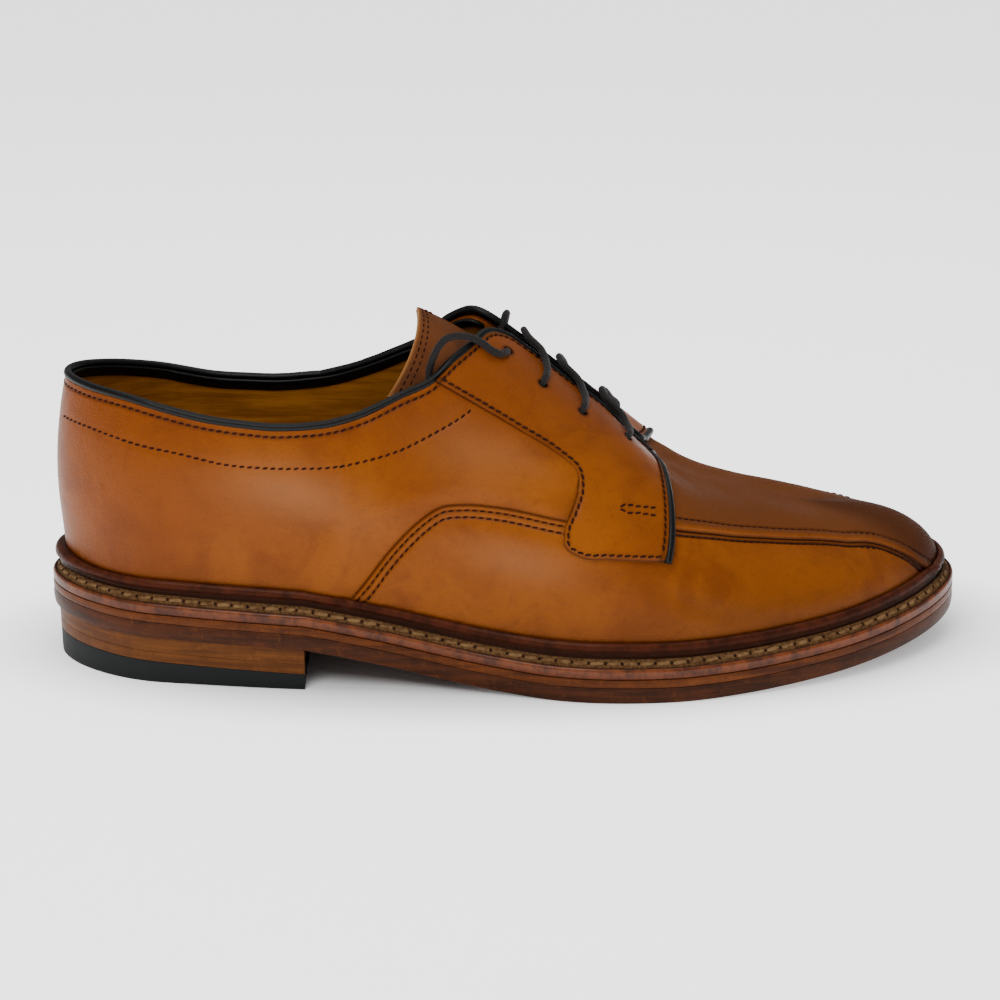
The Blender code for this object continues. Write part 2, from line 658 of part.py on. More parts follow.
def tube(name, points, radius, finish):
    """A round cord or bead: a poly curve with a bevel and filled caps."""
    curve = bpy.data.curves.new(name, "CURVE")
    curve.dimensions = "3D"
    curve.bevel_depth = radius
    curve.bevel_resolution = 1
    curve.use_fill_caps = True
    line = curve.splines.new("POLY")
    line.points.add(len(points) - 1)
    for point, place in zip(line.points, frame_x(np.asarray(points))):
        point.co = (*place, 1)
    curve.materials.append(material(*finish))
    made = bpy.data.objects.new(name, curve)
    collection("bicycle_toe_shoe").objects.link(made)
    return made


def even_path(points, count):
    """A path's points spaced evenly by length, on a smooth curve through them."""
    points = np.asarray(points, float)
    run = np.concatenate([[0], np.cumsum(np.linalg.norm(np.diff(points, axis=0), axis=1))])
    share = np.linspace(0, run[-1], count)
    return np.stack([smooth(share, run, points[:, k]) for k in range(3)], -1)


def beside(side, station, w, offset, away):
    """A curve on the upper moved sideways in the surface by away, to the left, with mitred corners."""
    t = t_of(station)
    on = surface(side, t, w, offset)
    normal = surface(side, t, w, offset + MM) - on
    step = np.diff(on, axis=0)
    step /= np.linalg.norm(step, axis=-1)[:, None]
    along_it = np.concatenate([step[:1], step]) + np.concatenate([step, step[-1:]])
    half_turn = np.linalg.norm(along_it, axis=-1)[:, None] / 2
    left = np.cross(normal, along_it)
    left /= np.linalg.norm(left, axis=-1)[:, None]
    return on + left * away / half_turn


def binding_half(side):
    """The binding's path on one side: from the heel's back round the collar and down the tab's edges."""
    away = (BINDING_RADIUS + GAP) * -side
    first = TAB_OUTER["station"][0]
    station = station_of(np.linspace(0, float(t_of(first)), BINDING_COLLAR)[:-1])
    rise = ramp((station - first) / BINDING_CLIMB + 1)
    collar = beside(side, station, top_edge(side, t_of(station)), -UPPER_WALL / 2 * (1 - rise), away)
    patch = tab_patch(side, BINDING_EDGE, BINDING_EDGE // 2)
    edge = np.concatenate([patch[0], patch[1:, -1], patch[-1, -2::-1]])
    middle = tab_rest(t_of(edge[:, 0]), edge[:, 1]) + BINDING_RADIUS
    share = np.clip(2 * np.arange(len(edge)) / BINDING_EDGE, 0, 1)
    tab = beside(side, edge[:, 0], edge[:, 1], middle * share, away)
    return np.concatenate([collar, tab])


def build_binding():
    """One bead round the collar and down the front edges of both tabs."""
    lateral, medial = binding_half(LATERAL), binding_half(MEDIAL)
    path = np.concatenate([lateral[::-1], medial[1:]])
    return tube("topline_binding", path, BINDING_RADIUS, EDGE_BLACK)


def across_foot(station, reach, lift):
    """Points over the upper: reach is negative on the lateral side and 0 on the crest."""
    station, reach = np.broadcast_arrays(station, reach)
    return surface(np.where(reach < 0, LATERAL, MEDIAL), t_of(station), 1 - np.abs(reach), lift)


def straight_bar(row, lift):
    """A bar from the lateral eyelet to the medial one, straight when seen from above."""
    reach = np.linspace(eyelets(LATERAL)[1][row] - 1, 1 - eyelets(MEDIAL)[1][row], BAR_POINTS)
    station = np.full(BAR_POINTS, EYELETS["station"][row])
    bent = across_foot(station, reach, lift)
    share = (bent[:, 1] - bent[0, 1]) / (bent[-1, 1] - bent[0, 1])
    straight = bent[0, 0] + (bent[-1, 0] - bent[0, 0]) * share
    station = station + (straight - bent[:, 0]) / (SOLE_LENGTH * (CREST_FRONT - CREST_BACK))
    return across_foot(station, reach, lift)


def build_laces():
    """Straight bars over the slot between the eyelets below the top pair, and two free ends."""
    over_binding = 2 * BINDING_RADIUS + GAP + LACE_RADIUS
    for row in range(1, len(EYELETS["station"])):
        lift = over_binding + tab_rest(t_of(EYELETS["station"][row]), eyelets(LATERAL)[1][row])
        tube("lace_bar_%d" % row, even_path(straight_bar(row, lift), BAR_POINTS), LACE_RADIUS, LACE_BLACK)
    for name, route in (("lace_end_lateral", LACE_END_LATERAL), ("lace_end_medial", LACE_END_MEDIAL)):
        path = across_foot(np.array(route["station"]), np.array(route["reach"]), np.array(route["lift"]) * MM)
        tube(name, even_path(path, BAR_POINTS), LACE_RADIUS, LACE_BLACK)


def main():
    """Clears the scene and builds the shoe."""
    for old in list(bpy.data.objects):
        bpy.data.objects.remove(old)
    build_heel()
    build_sole()
    build_welt()
    build_upper()
    build_tabs()
    build_tongue()
    build_binding()
    build_laces()


main()
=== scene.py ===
"""Looks of the bicycle-toe lace-up shoe: leathers, seams, stitches, welt, sole edges and laces.

Metres, +Z up, +X to the toe, -Y the outer (lateral) side. A place on the upper is named
by t, 0 at the heel's back and 1 at the toe's tip, and by u, which runs across the foot
from 0 at the lateral feather line through 1 on the crest to 2 at the medial feather
line. Tables give places as station, the share of the length, and w, the share of the
way from feather line to crest on one side.
"""
import bpy
import math
import numpy as np
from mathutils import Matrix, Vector


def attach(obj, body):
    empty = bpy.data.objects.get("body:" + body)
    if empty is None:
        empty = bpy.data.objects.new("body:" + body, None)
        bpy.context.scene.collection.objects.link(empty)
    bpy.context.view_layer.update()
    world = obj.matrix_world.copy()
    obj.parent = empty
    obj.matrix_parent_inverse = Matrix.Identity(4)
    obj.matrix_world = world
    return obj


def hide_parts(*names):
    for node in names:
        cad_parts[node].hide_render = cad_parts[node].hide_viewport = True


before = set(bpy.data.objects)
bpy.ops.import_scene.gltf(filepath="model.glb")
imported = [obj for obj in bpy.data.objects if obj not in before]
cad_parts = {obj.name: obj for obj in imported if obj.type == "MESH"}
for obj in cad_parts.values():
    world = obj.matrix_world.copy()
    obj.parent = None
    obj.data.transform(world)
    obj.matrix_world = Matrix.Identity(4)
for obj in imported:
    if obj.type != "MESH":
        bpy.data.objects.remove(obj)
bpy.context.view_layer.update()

MM = 0.001
LATERAL, MEDIAL = -1, 1
SIDES = (LATERAL, MEDIAL)

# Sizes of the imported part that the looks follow
SOLE_LENGTH = 310 * MM
BALL_WIDTH = 109 * MM
INSTEP_HEIGHT = 112 * MM
HEEL_HEIGHT = 14 * MM
HEEL_LENGTH = 86 * MM
HEEL_PITCH = math.radians(2.3)
TOE_SPRING = 10.5 * MM
HEEL_ROUND = 39 * MM
TOE_ROUND = 66 * MM
TOP_PIECE = 5 * MM
LIFT_UPPER = 5 * MM
OUTSOLE = 5.2 * MM
MIDSOLE = 3.4 * MM
WELT = 2.9 * MM
HEEL_INSET = 1.5 * MM
WELT_MARGIN = 6.6 * MM
UPPER_WALL = 2 * MM
FACING = 1.4 * MM
TONGUE = 1.6 * MM
PANEL_LAP = 1 * MM
SLOT_SETBACK = 1.5 * MM
EYELET = 3.4 * MM
GAP = 0.3 * MM
TAB_GAP = 0.4 * MM
ORIGIN_X = HEEL_LENGTH / 2
LIFT_LOWER = HEEL_HEIGHT - TOP_PIECE - LIFT_UPPER - 3 * GAP

TREAD_START, TREAD_END = 0.545, 0.654
ARCH_SLOPE, TOE_RISE = 4.2, 1.9
TOE_ALONG, TOE_ACROSS = 2.35, 2.1
PLAN = dict(
    station=[0.00, 0.10, 0.20, 0.28, 0.38, 0.48, 0.58, 0.66, 0.74, 0.82, 0.90, 1.00],
    centre=[0.019, 0.003, -0.024, -0.047, -0.066, -0.078, -0.082, -0.063, -0.028, 0.013, 0.044, 0.070],
    half=[0.281, 0.327, 0.359, 0.372, 0.371, 0.408, 0.477, 0.500, 0.490, 0.462, 0.426, 0.371],
)
CREST_BACK, CREST_FRONT = 0.07, 0.862
BULGE_LOW, BULGE_SOFT = 0.75, 1.5
CREST_SOFT, CREST_STEP = 0.35, 0.02
SECTIONS = dict(
    station=[0.00, 0.15, 0.30, 0.42, 0.49, 0.55, 0.60, 0.65, 0.70, 0.75, 0.80, 0.87, 0.93, 0.965, 1.00],
    height=[1.06, 1.12, 1.13, 1.09, 1.028, .937, .850, .755, .642, .55, .495, .450, .415, .399, .392],
    centre=[0.00, 0.00, 0.01, 0.03, 0.04, 0.04, .035, 0.03, 0.03, .035, 0.04, 0.05, 0.06, .065, 0.07],
    square=[2.6, 2.6, 2.3, 2.0, 1.95, 1.95, 2.0, 2.05, 2.1, 2.15, 2.2, 2.2, 2.15, 2.1, 2.1],
    bulge=[.032, .030, .012, .008, .010, .012, .015, .018, .020, .020, .019, .017, .012, .010, .010],
)
COLLAR = dict(
    station=[0.00, 0.04, .086, 0.13, .172, .212, .254, 0.31, .345, .382, 0.42, .445, 0.47, .495, 0.52],
    lateral=[.700, .645, .595, .552, .520, .502, .493, .515, .553, .612, .672, .735, .795, .870, .950],
    medial=[.700, .640, .585, .550, .528, .525, .532, .575, .628, .695, .770, .840, .900, .955, .990],
)
THROAT = 0.675
SLOT_START, SLOT_ROUND = 0.47, 0.05
EDGE_CORNER = 0.03
TAB_TOP, TAB_THROAT = 0.505, 0.708
PANEL_SEAM = dict(
    station=[0.00, 0.30, 0.50, 0.60, 0.672, 0.741, 0.819, 0.893, 0.94, 0.955, 0.968, 0.976, 1.00],
    w=[0.33, 0.30, 0.37, 0.41, 0.427, 0.457, 0.463, 0.427, 0.353, 0.263, 0.147, 0.083, -0.08],
)
WING_SEAM = dict(
    station=[0.00, 0.312, 0.328, 0.343, 0.361, 0.379, 0.400, 0.419, 0.444, 0.478, 0.55, 1.00],
    w=[-0.20, -0.02, 0.053, 0.110, 0.183, 0.247, 0.307, 0.347, 0.367, 0.377, 0.377, 0.40],
)
TAB_OUTER = dict(
    station=[.422, .459, .506, .550, .570, .570, .560, .549, .549, .562, .597, .655],
    w=[.665, .633, .593, .555, .520, .475, .410, .350, .305, .288, .292, .307],
)
SLOT = dict(
    station=[.505, .55, .60, .65, .707],
    lateral=[9.5, 9.8, 10.8, 10.8, 10.0],
    medial=[3.5, 4.5, 5.5, 5.5, 5.0],
)
TAB_FRONT = dict(
    station=[.648, .656, .666, .679, .698, .710],
    w=[.307, .37, .47, .60, .75, .88],
)
COVER_START, COVER_EASE, COVER_WING = 0.055, 0.03, 0.05
EYELETS = dict(station=[0.516, 0.552, 0.598, 0.653], back=[10.5, 17.7, 19.2, 17.2])
TONGUE_ROWS = dict(
    station=[0.425, 0.46, 0.50, 0.55, 0.60, 0.66, 0.73],
    half=[0.38, 0.35, 0.29, 0.24, 0.20, 0.18, 0.15],
    depth=[3.8, 5.0, 5.4, 4.6, 3.6, 2.4, 1.2],
    slant=[0.055, 0.04, 0.02, 0.01, 0.0, 0.0, 0.0],
    far_slant=[-0.05, -0.03, -0.01, 0.0, 0.0, 0.0, 0.0],
)
TONGUE_CURL = 0.25
LACE_END_LATERAL = dict(
    station=[.516, .5114, .5002, .4902, .4805, .4698, .4574, .4461, .4360, .4285, .4235, .4206, .4181, .4170],
    reach=[-.167, -.180, -.2066, -.2086, -.1959, -.1913, -.1948,
           -.2034, -.2144, -.2327, -.2529, -.2700, -.2909, -.32],
    lift=[-1.0, 2.4, 3.2, 3.6, 3.6, 3.8, 4.2, 4.6, 4.0, 2.6, 0.4, -1.8, -3.0, -3.4],
)
LACE_END_MEDIAL = dict(
    station=[.516, .516, .5173, .5190, .5210, .5228, .5263, .5295, .5325, .5368, .5415, .5481],
    reach=[.119, .112, .092, .068, .046, .032, .024, .020, .018, .016, .014, .012],
    lift=[-1.0, 2.2, 4.0, 5.2, 5.4, 4.4, 2.0, -0.5, -3.0, -6.0, -9.0, -12.0],
)

# Soft creases of the worn leather: two ends and a middle on one side, width and depth in mm.
# A negative depth is a ridge.
CREASES = dict(
    side=[-1, -1, -1, -1, -1, -1, 1, 1, 1, 1],
    station_a=[.690, .715, .745, .640, .205, .300, .690, .730, .640, .250],
    w_a=[.560, .600, .640, .230, .330, .250, .560, .620, .240, .340],
    station_m=[.705, .728, .758, .690, .275, .380, .705, .742, .690, .320],
    w_m=[.790, .800, .820, .170, .270, .330, .790, .810, .180, .300],
    station_b=[.700, .724, .752, .745, .350, .455, .700, .738, .745, .400],
    w_b=[.995, .995, .995, .130, .260, .430, .995, .995, .130, .330],
    width=[3.2, 3.0, 3.0, 4.0, 7.0, 7.0, 3.2, 3.0, 4.0, 7.0],
    depth=[.35, .30, .22, .45, .5, -.5, .35, .30, .45, .5],
)

# Rows of stitches: their distances from an edge, and the collar's row as a line of its own
TOPLINE_STITCH = 2.0
TOPLINE_GROOVE, COLLAR_GROOVE, GROOVE_HALF = 0.18, 0.14, 0.5
EDGE_STITCH, BOUND_STITCH = 1.5 * MM, 1.3 * MM
COLLAR_STITCH = dict(
    station=[.008, .042, .066, .103, .153, .194, .235, .273, .310, .345, .379, .416, .447, .461],
    w=[.563, .527, .500, .463, .430, .403, .393, .393, .407, .437, .477, .537, .593, .622],
)
BAR_TACK = dict(
    station=[.656, .636, .618, .614, .618, .636, .654],
    w=[.470, .461, .454, .446, .438, .441, .444],
)

# Grid counts
LATTICE_T, LATTICE_W, SECTION_SAMPLES = 1201, 301, 81


def smooth(x, xs, ys):
    """A smooth curve through table points: cubic Hermite, its slopes weighted by the spans."""
    xs, ys = np.asarray(xs, float), np.asarray(ys, float)
    span = np.diff(xs)
    chord = np.diff(ys) / span
    slope = np.empty_like(ys)
    slope[0], slope[-1] = chord[0], chord[-1]
    slope[1:-1] = (chord[:-1] * span[1:] + chord[1:] * span[:-1]) / (span[1:] + span[:-1])
    x = np.clip(x, xs[0], xs[-1])
    i = np.clip(np.searchsorted(xs, x, side="right") - 1, 0, len(xs) - 2)
    s = (x - xs[i]) / span[i]
    start = ys[i] * (1 + 2 * s) * (1 - s) ** 2 + slope[i] * span[i] * s * (1 - s) ** 2
    end = ys[i + 1] * s * s * (3 - 2 * s) + slope[i + 1] * span[i] * s * s * (s - 1)
    return start + end


def column(table, name, station):
    """One column of a table, at any station between its rows."""
    return smooth(station, table["station"], table[name])


def ramp(x):
    """0 below -1, 1 above 1, and an S-curve between."""
    x = np.clip((x + 1) / 2, 0, 1)
    return x * x * (3 - 2 * x)


def hill(x):
    """A bell: 1 at 0, nearly nothing beyond 2."""
    return np.exp(-x * x)


def unit(v):
    """Vectors of length 1."""
    return v / np.maximum(np.linalg.norm(v, axis=-1, keepdims=True), 1e-12)


def lengths(path):
    """Length along a line of points, at each point."""
    return np.concatenate([[0], np.cumsum(np.linalg.norm(np.diff(path, axis=0), axis=1))])


def pick(points, run, share, through=np.interp):
    """Points at the lengths share along a line whose own points lie at run."""
    return np.stack([through(share, run, values) for values in points.T], -1)


def station_of(t):
    """The share of the length at t. Lines crowd towards both ends, where the outline turns."""
    return (1 - np.cos(np.pi * t)) / 2


def t_of(station):
    """The t of a station."""
    return np.arccos(1 - 2 * np.asarray(station, float)) / np.pi


def name_of(side):
    """The side's name, as the tables' columns have it."""
    return "lateral" if side == LATERAL else "medial"


def sole_edge(side, t):
    """The sole's edge: centre line plus half width, with round ends. Below 0 and above 1, t mirrors."""
    station = station_of(t)
    x = SOLE_LENGTH * station
    back = np.clip(1 - x / HEEL_ROUND, 0, 1)
    front = np.clip(1 - (SOLE_LENGTH - x) / TOE_ROUND, 0, 1)
    half = column(PLAN, "half", station) * BALL_WIDTH
    half = half * np.sqrt(1 - back ** 2) * (1 - front ** TOE_ALONG) ** (1 / TOE_ACROSS)
    centre = column(PLAN, "centre", station) * BALL_WIDTH
    return x, centre + side * np.sign(np.sin(np.pi * t)) * half


def on_edge(side, t, inset, height, breast=False):
    """Points over the sole's edge moved in by inset, at height, a function of x. breast squares the last."""
    x, y, _, _ = outline(side, t, inset)
    if breast:
        x[-1] = HEEL_LENGTH
    return np.stack([x - ORIGIN_X, y, height(x)], -1)


def outline(side, t, inset=0.0):
    """The sole's edge moved in by inset, and the outward direction there."""
    x, y = sole_edge(side, t)
    xa, ya = sole_edge(side, t - 1e-4)
    xb, yb = sole_edge(side, t + 1e-4)
    length = np.hypot(xb - xa, yb - ya)
    nx, ny = -side * (yb - ya) / length, side * (xb - xa) / length
    return x - nx * inset, y - ny * inset, nx, ny


def sole_rise(x):
    """Height of the outsole's underside over the floor: heel pitch, arch, flat tread, toe spring."""
    start, end = TREAD_START * SOLE_LENGTH, TREAD_END * SOLE_LENGTH
    pitch = math.tan(HEEL_PITCH)
    heel = HEEL_HEIGHT + pitch * (HEEL_LENGTH - x)
    q = np.clip((x - HEEL_LENGTH) / (start - HEEL_LENGTH), 0, 1)
    arch = HEEL_HEIGHT * (1 + 2 * q) * (1 - q) ** 2
    arch = arch - ARCH_SLOPE * pitch * (start - HEEL_LENGTH) * q * (1 - q) ** 2
    toe = TOE_SPRING * np.clip((x - end) / (SOLE_LENGTH - end), 0, 1) ** TOE_RISE
    return np.where(x < HEEL_LENGTH, heel, np.where(x < start, arch, toe))


def welt_top(x):
    """Height of the welt's flat top."""
    return sole_rise(x) + OUTSOLE + MIDSOLE + WELT + 2 * GAP


def heel_plane(level):
    """A height inside the heel, parallel to the outsole's underside there."""
    return lambda x: level + math.tan(HEEL_PITCH) * (HEEL_LENGTH - x)


def crest_slope(station):
    """How much the crest rises for each length forward."""
    back, ahead = np.maximum(station - CREST_STEP, 0), np.minimum(station + CREST_STEP, 1)
    rise = (column(SECTIONS, "height", ahead) - column(SECTIONS, "height", back)) * INSTEP_HEIGHT
    return rise / (SOLE_LENGTH * (CREST_FRONT - CREST_BACK) * (ahead - back))


def half_last(side, t, w):
    """Points of the last on one side and each section's length.

    A section is a quarter of a superellipse from the feather line up to the crest,
    with a bulge along the outline's outward direction. w is a share of its length.
    """
    station = station_of(t)
    fx, fy, nx, ny = outline(side, t, WELT_MARGIN)
    fz = welt_top(fx) + GAP
    cx = SOLE_LENGTH * (CREST_BACK + (CREST_FRONT - CREST_BACK) * station)
    cy = column(SECTIONS, "centre", station) * BALL_WIDTH
    cz = column(SECTIONS, "height", station) * INSTEP_HEIGHT
    square = column(SECTIONS, "square", station)[:, None]
    bulge = column(SECTIONS, "bulge", station)[:, None] * BALL_WIDTH
    angle = np.linspace(0, np.pi / 2, SECTION_SAMPLES)[None, :]
    up = np.sin(angle) ** (2 / square)
    out = np.maximum(np.cos(angle), 0) ** (2 / square)
    out[:, -1] = 0
    swell = np.sin(np.pi * np.minimum(up, 1) ** BULGE_LOW) ** BULGE_SOFT * bulge
    swell[:, -1] = 0
    x = cx[:, None] + (fx - cx)[:, None] * out + nx[:, None] * swell
    y = cy[:, None] + (fy - cy)[:, None] * out + ny[:, None] * swell
    fall = (fx - cx)[:, None] * out * crest_slope(station)[:, None] * np.exp(-(out / CREST_SOFT) ** 2)
    z = fz[:, None] + (cz - fz)[:, None] * up + fall
    points = np.stack([x - ORIGIN_X, y, z], -1)
    step = np.linalg.norm(np.diff(points, axis=1), axis=-1)
    run = np.concatenate([np.zeros((len(t), 1)), np.cumsum(step, 1)], 1)
    length = run[:, -1]
    run = run / length[:, None]
    i = np.clip((run[:, :, None] <= w).sum(1) - 1, 0, SECTION_SAMPLES - 2)
    k = np.arange(len(t))[:, None]
    f = ((w - run[k, i]) / (run[k, i + 1] - run[k, i]))[..., None]
    return points[k, i] * (1 - f) + points[k, i + 1] * f, length


def lattice():
    """The last's outside as one fine grid over (t, u), its outward normals and the section lengths."""
    t, w = np.linspace(0, 1, LATTICE_T), np.linspace(0, 1, LATTICE_W)
    lateral, lateral_length = half_last(LATERAL, t, w)
    medial, medial_length = half_last(MEDIAL, t, w)
    points = np.concatenate([lateral, medial[:, -2::-1]], 1)
    normal = np.cross(np.gradient(points, axis=0), np.gradient(points, axis=1))
    normal[0], normal[-1] = normal[1], normal[-2]
    return points, unit(normal), {LATERAL: lateral_length, MEDIAL: medial_length}


LAST, LAST_NORMAL, GIRTH = lattice()


def read(grid, t, u):
    """The value of a lattice grid at (t, u), straight between its points."""
    a = np.clip(t, 0, 1) * (LATTICE_T - 1)
    b = np.clip(u, 0, 2) * (LATTICE_W - 1)
    i = np.minimum(a.astype(int), grid.shape[0] - 2)
    j = np.minimum(b.astype(int), grid.shape[1] - 2)
    f, g = (a - i)[..., None], (b - j)[..., None]
    low = grid[i, j] * (1 - g) + grid[i, j + 1] * g
    high = grid[i + 1, j] * (1 - g) + grid[i + 1, j + 1] * g
    return low * (1 - f) + high * f


def skin(t, u, offset=0.0):
    """A point on the last at (t, u), moved out by offset along the normal."""
    t, u, offset = np.broadcast_arrays(np.asarray(t, float), u, offset)
    return read(LAST, t, u) + unit(read(LAST_NORMAL, t, u)) * offset[..., None]


def girth(side, t):
    """Length of the section at t, from feather line to crest."""
    return np.interp(t, np.linspace(0, 1, LATTICE_T), GIRTH[side])


def u_of(side, w):
    """The u of a height w on one side."""
    return w if side == LATERAL else 2 - w


def shift(t, u, distance):
    """A path on the last moved sideways in the surface, to the left of its direction."""
    step = 1e-3
    along_t = (read(LAST, t + step, u) - read(LAST, t - step, u)) / (2 * step)
    along_u = (read(LAST, t, u + step) - read(LAST, t, u - step)) / (2 * step)
    path = read(LAST, t, u)
    left = unit(np.cross(read(LAST_NORMAL, t, u), np.gradient(path, axis=0))) * distance
    tt, uu, tu = (along_t ** 2).sum(-1), (along_u ** 2).sum(-1), (along_t * along_u).sum(-1)
    lt, lu = (left * along_t).sum(-1), (left * along_u).sum(-1)
    det = tt * uu - tu * tu
    return t + (lt * uu - lu * tu) / det, u + (lu * tt - lt * tu) / det


def seam_distance(table, side, t, w):
    """How far above a seam a place lies, square to the seam, in metres."""
    station = station_of(t)
    lines = np.linspace(0.001, 0.999, 800)
    height = np.maximum(column(table, "w", station_of(lines)), 0)
    seam = read(LAST, lines, u_of(side, height))
    up = unit(read(LAST, lines, u_of(side, height + 1e-2)) - seam)
    lean = np.linalg.norm(np.cross(up, unit(np.gradient(seam, axis=0))), axis=-1)
    return (w - column(table, "w", station)) * girth(side, t) * np.interp(t, lines, lean)


# Profiles across the two overlapped seams, in mm: station is the distance above the seam, and
# height is the leather's over the last
PANEL_PROFILE = dict(
    station=[-40, -3.4, -2.5, -1.85, -1.3, -0.8, -0.35, -0.05, 0.3, 1.0, 2.2, 3.1, 3.85, 4.6, 6.0, 40],
    height=[0, 0, .02, -.36, .22, .30, -.28, .45, 1.25, 1.55, 1.50, 1.30, .78, 1.08, 1.08, 1.0],
)
WING_PROFILE = dict(
    station=[-40, -14, -5.4, -4.4, -3.75, -3.1, -2.6, -2.1, -1.5, -1.0, -0.55, -0.1, 0.3, 1.0, 40],
    height=[0, .45, .80, .74, .40, .80, .90, .80, .38, .84, .88, .36, -.16, 0, 0],
)


def creases(t, u):
    """Depth of the creases: bells across smooth lines on the leather, fading out at both ends."""
    place = read(LAST, t, u)
    total = np.zeros(t.shape)
    share = np.linspace(0, 1, 25)
    for side, sa, wa, sm, wm, sb, wb, width, depth in zip(*CREASES.values()):
        station = smooth(share, [0, .5, 1], [sa, sm, sb])
        w = smooth(share, [0, .5, 1], [wa, wm, wb])
        line = read(LAST, t_of(station), u_of(side, w))
        stops_short = wb < .99
        fade = np.sin(np.pi * np.clip(share, 0.02, 0.98) if stops_short else np.pi * share / 2) ** 0.6
        near = np.linalg.norm(place - line[12], axis=-1) < 60 * MM
        gap = np.linalg.norm(place[near][:, None] - line[None], axis=-1)
        nearest = gap.argmin(1)
        across = gap.min(1) / (width * MM)
        total[near] += depth * MM * fade[nearest] * (1.25 * hill(across) - 0.5 * hill(across / 1.9))
    return total


def relief(side, t, w):
    """How far the upper's leather stands out from the last: laps, seams, stitch grooves and creases."""
    station = station_of(t)
    panel = column(PANEL_PROFILE, "height", seam_distance(PANEL_SEAM, side, t, w) / MM)
    panel = panel * ramp((station - THROAT + 0.02) / 0.015) * ramp((w - 0.03) / 0.05)
    wing = column(WING_PROFILE, "height", seam_distance(WING_SEAM, side, t, w) / MM)
    wing = wing * (1 - ramp((station - THROAT + 0.05) / 0.03)) * ramp((w - 0.03) / 0.05)
    topline = (top_edge(side, t) - w) * girth(side, t) / MM
    groove = -TOPLINE_GROOVE * hill((topline - TOPLINE_STITCH) / GROOVE_HALF) * (station < THROAT - 0.02)
    collar = (w - column(COLLAR_STITCH, "w", station)) * girth(side, t) / MM
    groove = groove - COLLAR_GROOVE * hill(collar / GROOVE_HALF) * (station < COLLAR_STITCH["station"][-1])
    return (panel + wing + groove) * MM - creases(t, u_of(side, w))


def slot_edge(side, t, setback=0.0):
    """The w of a tab's inner edge, moved away from the crest by setback."""
    return 1 - (column(SLOT, name_of(side), station_of(t)) * MM + setback) / girth(side, t)


def top_edge(side, t):
    """The w where the upper ends: the collar, then the lacing slot up to the throat, then the crest."""
    station = station_of(t)
    collar = column(COLLAR, name_of(side), station)
    left = np.clip((THROAT - station) / SLOT_ROUND, 0, 1)
    slot = 1 - (1 - slot_edge(side, t, SLOT_SETBACK)) * np.sqrt(1 - (1 - left) ** 2)
    both = (collar + slot - np.hypot(collar - slot, EDGE_CORNER)) / 2
    edge = collar + (both - collar) * ramp((station - SLOT_START) / 0.012)
    return np.where(station < THROAT - 1e-9, edge, 1.0)


def foot_lines(counts, stations=(0, THROAT, 1)):
    """t of the mesh lines: even steps along the lateral foot, with a line at each given station."""
    fine = np.linspace(0, 1, 4001)
    foot = read(LAST, fine, np.zeros(fine.shape))
    run = lengths(foot)
    marks = np.interp(t_of(stations), fine, run)
    places = [np.linspace(a, b, count + 1)[:-1] for a, b, count in zip(marks[:-1], marks[1:], counts)]
    t = np.interp(np.concatenate(places + [marks[-1:]]), run, fine)
    for mark in t_of(stations):
        t[np.abs(t - mark).argmin()] = mark
    return t


def build_mesh(name, points, face_sets, uv=None, marks=None):
    """A mesh from an array of points and arrays of faces, without unused points, shaded smooth."""
    used, first = np.unique(np.concatenate([f.ravel() for f in face_sets]), return_inverse=True)
    sizes = np.concatenate([np.full(len(f), f.shape[1]) for f in face_sets])
    mesh = bpy.data.meshes.new(name)
    mesh.vertices.add(len(used))
    mesh.vertices.foreach_set("co", np.ascontiguousarray(points[used], np.float32).ravel())
    mesh.loops.add(len(first))
    mesh.loops.foreach_set("vertex_index", first.ravel().astype(np.int32))
    mesh.polygons.add(len(sizes))
    mesh.polygons.foreach_set("loop_start", (np.cumsum(sizes) - sizes).astype(np.int32))
    mesh.polygons.foreach_set("use_smooth", np.ones(len(sizes), bool))
    if uv is not None:
        layer = mesh.uv_layers.new(name="UVMap")
        layer.uv.foreach_set("vector", uv[used][first.ravel()].astype(np.float32).ravel())
    for key, values in (marks or {}).items():
        layer = mesh.attributes.new(key, "FLOAT", "POINT")
        layer.data.foreach_set("value", values[used].astype(np.float32))
    mesh.update(calc_edges=True)
    return mesh


def add_piece(name, points, face_sets, finishes, slot, stands_for=(), sharp=None, **extras):
    """A mesh as a piece of the shoe that rides on its body. sharp is the least angle of a hard edge."""
    mesh = build_mesh(name, points, face_sets, **extras)
    if sharp is not None:
        mesh.set_sharp_from_angle(angle=math.radians(sharp))
    for finish in finishes:
        mesh.materials.append(finish)
    piece = bpy.data.objects.new(name, mesh)
    bpy.context.scene.collection.objects.link(piece)
    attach(piece, "root")
    if stands_for:
        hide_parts(*stands_for)
    return piece


def grid_index(rows, columns, start=0):
    """The numbers of a grid's points."""
    return start + np.arange(rows * columns).reshape(rows, columns)


def quads(index, flip=False):
    """Faces between the rows and columns of an index grid."""
    a, b, c, d = index[:-1, :-1], index[1:, :-1], index[1:, 1:], index[:-1, 1:]
    faces = np.stack([a, b, c, d], -1).reshape(-1, 4)
    return faces[:, ::-1] if flip else faces


def rim(outer, inner, flip=False):
    """Faces between two lines of points."""
    faces = np.stack([outer[:-1], outer[1:], inner[1:], inner[:-1]], -1)
    return faces[:, ::-1] if flip else faces


def free_edges(faces, count):
    """The edges with a face on one side only, in the direction of that face."""
    edges = np.concatenate([faces[:, [k, (k + 1) % 4]] for k in range(4)])
    return edges[~np.isin(edges[:, 0] * count + edges[:, 1], edges[:, 1] * count + edges[:, 0])]


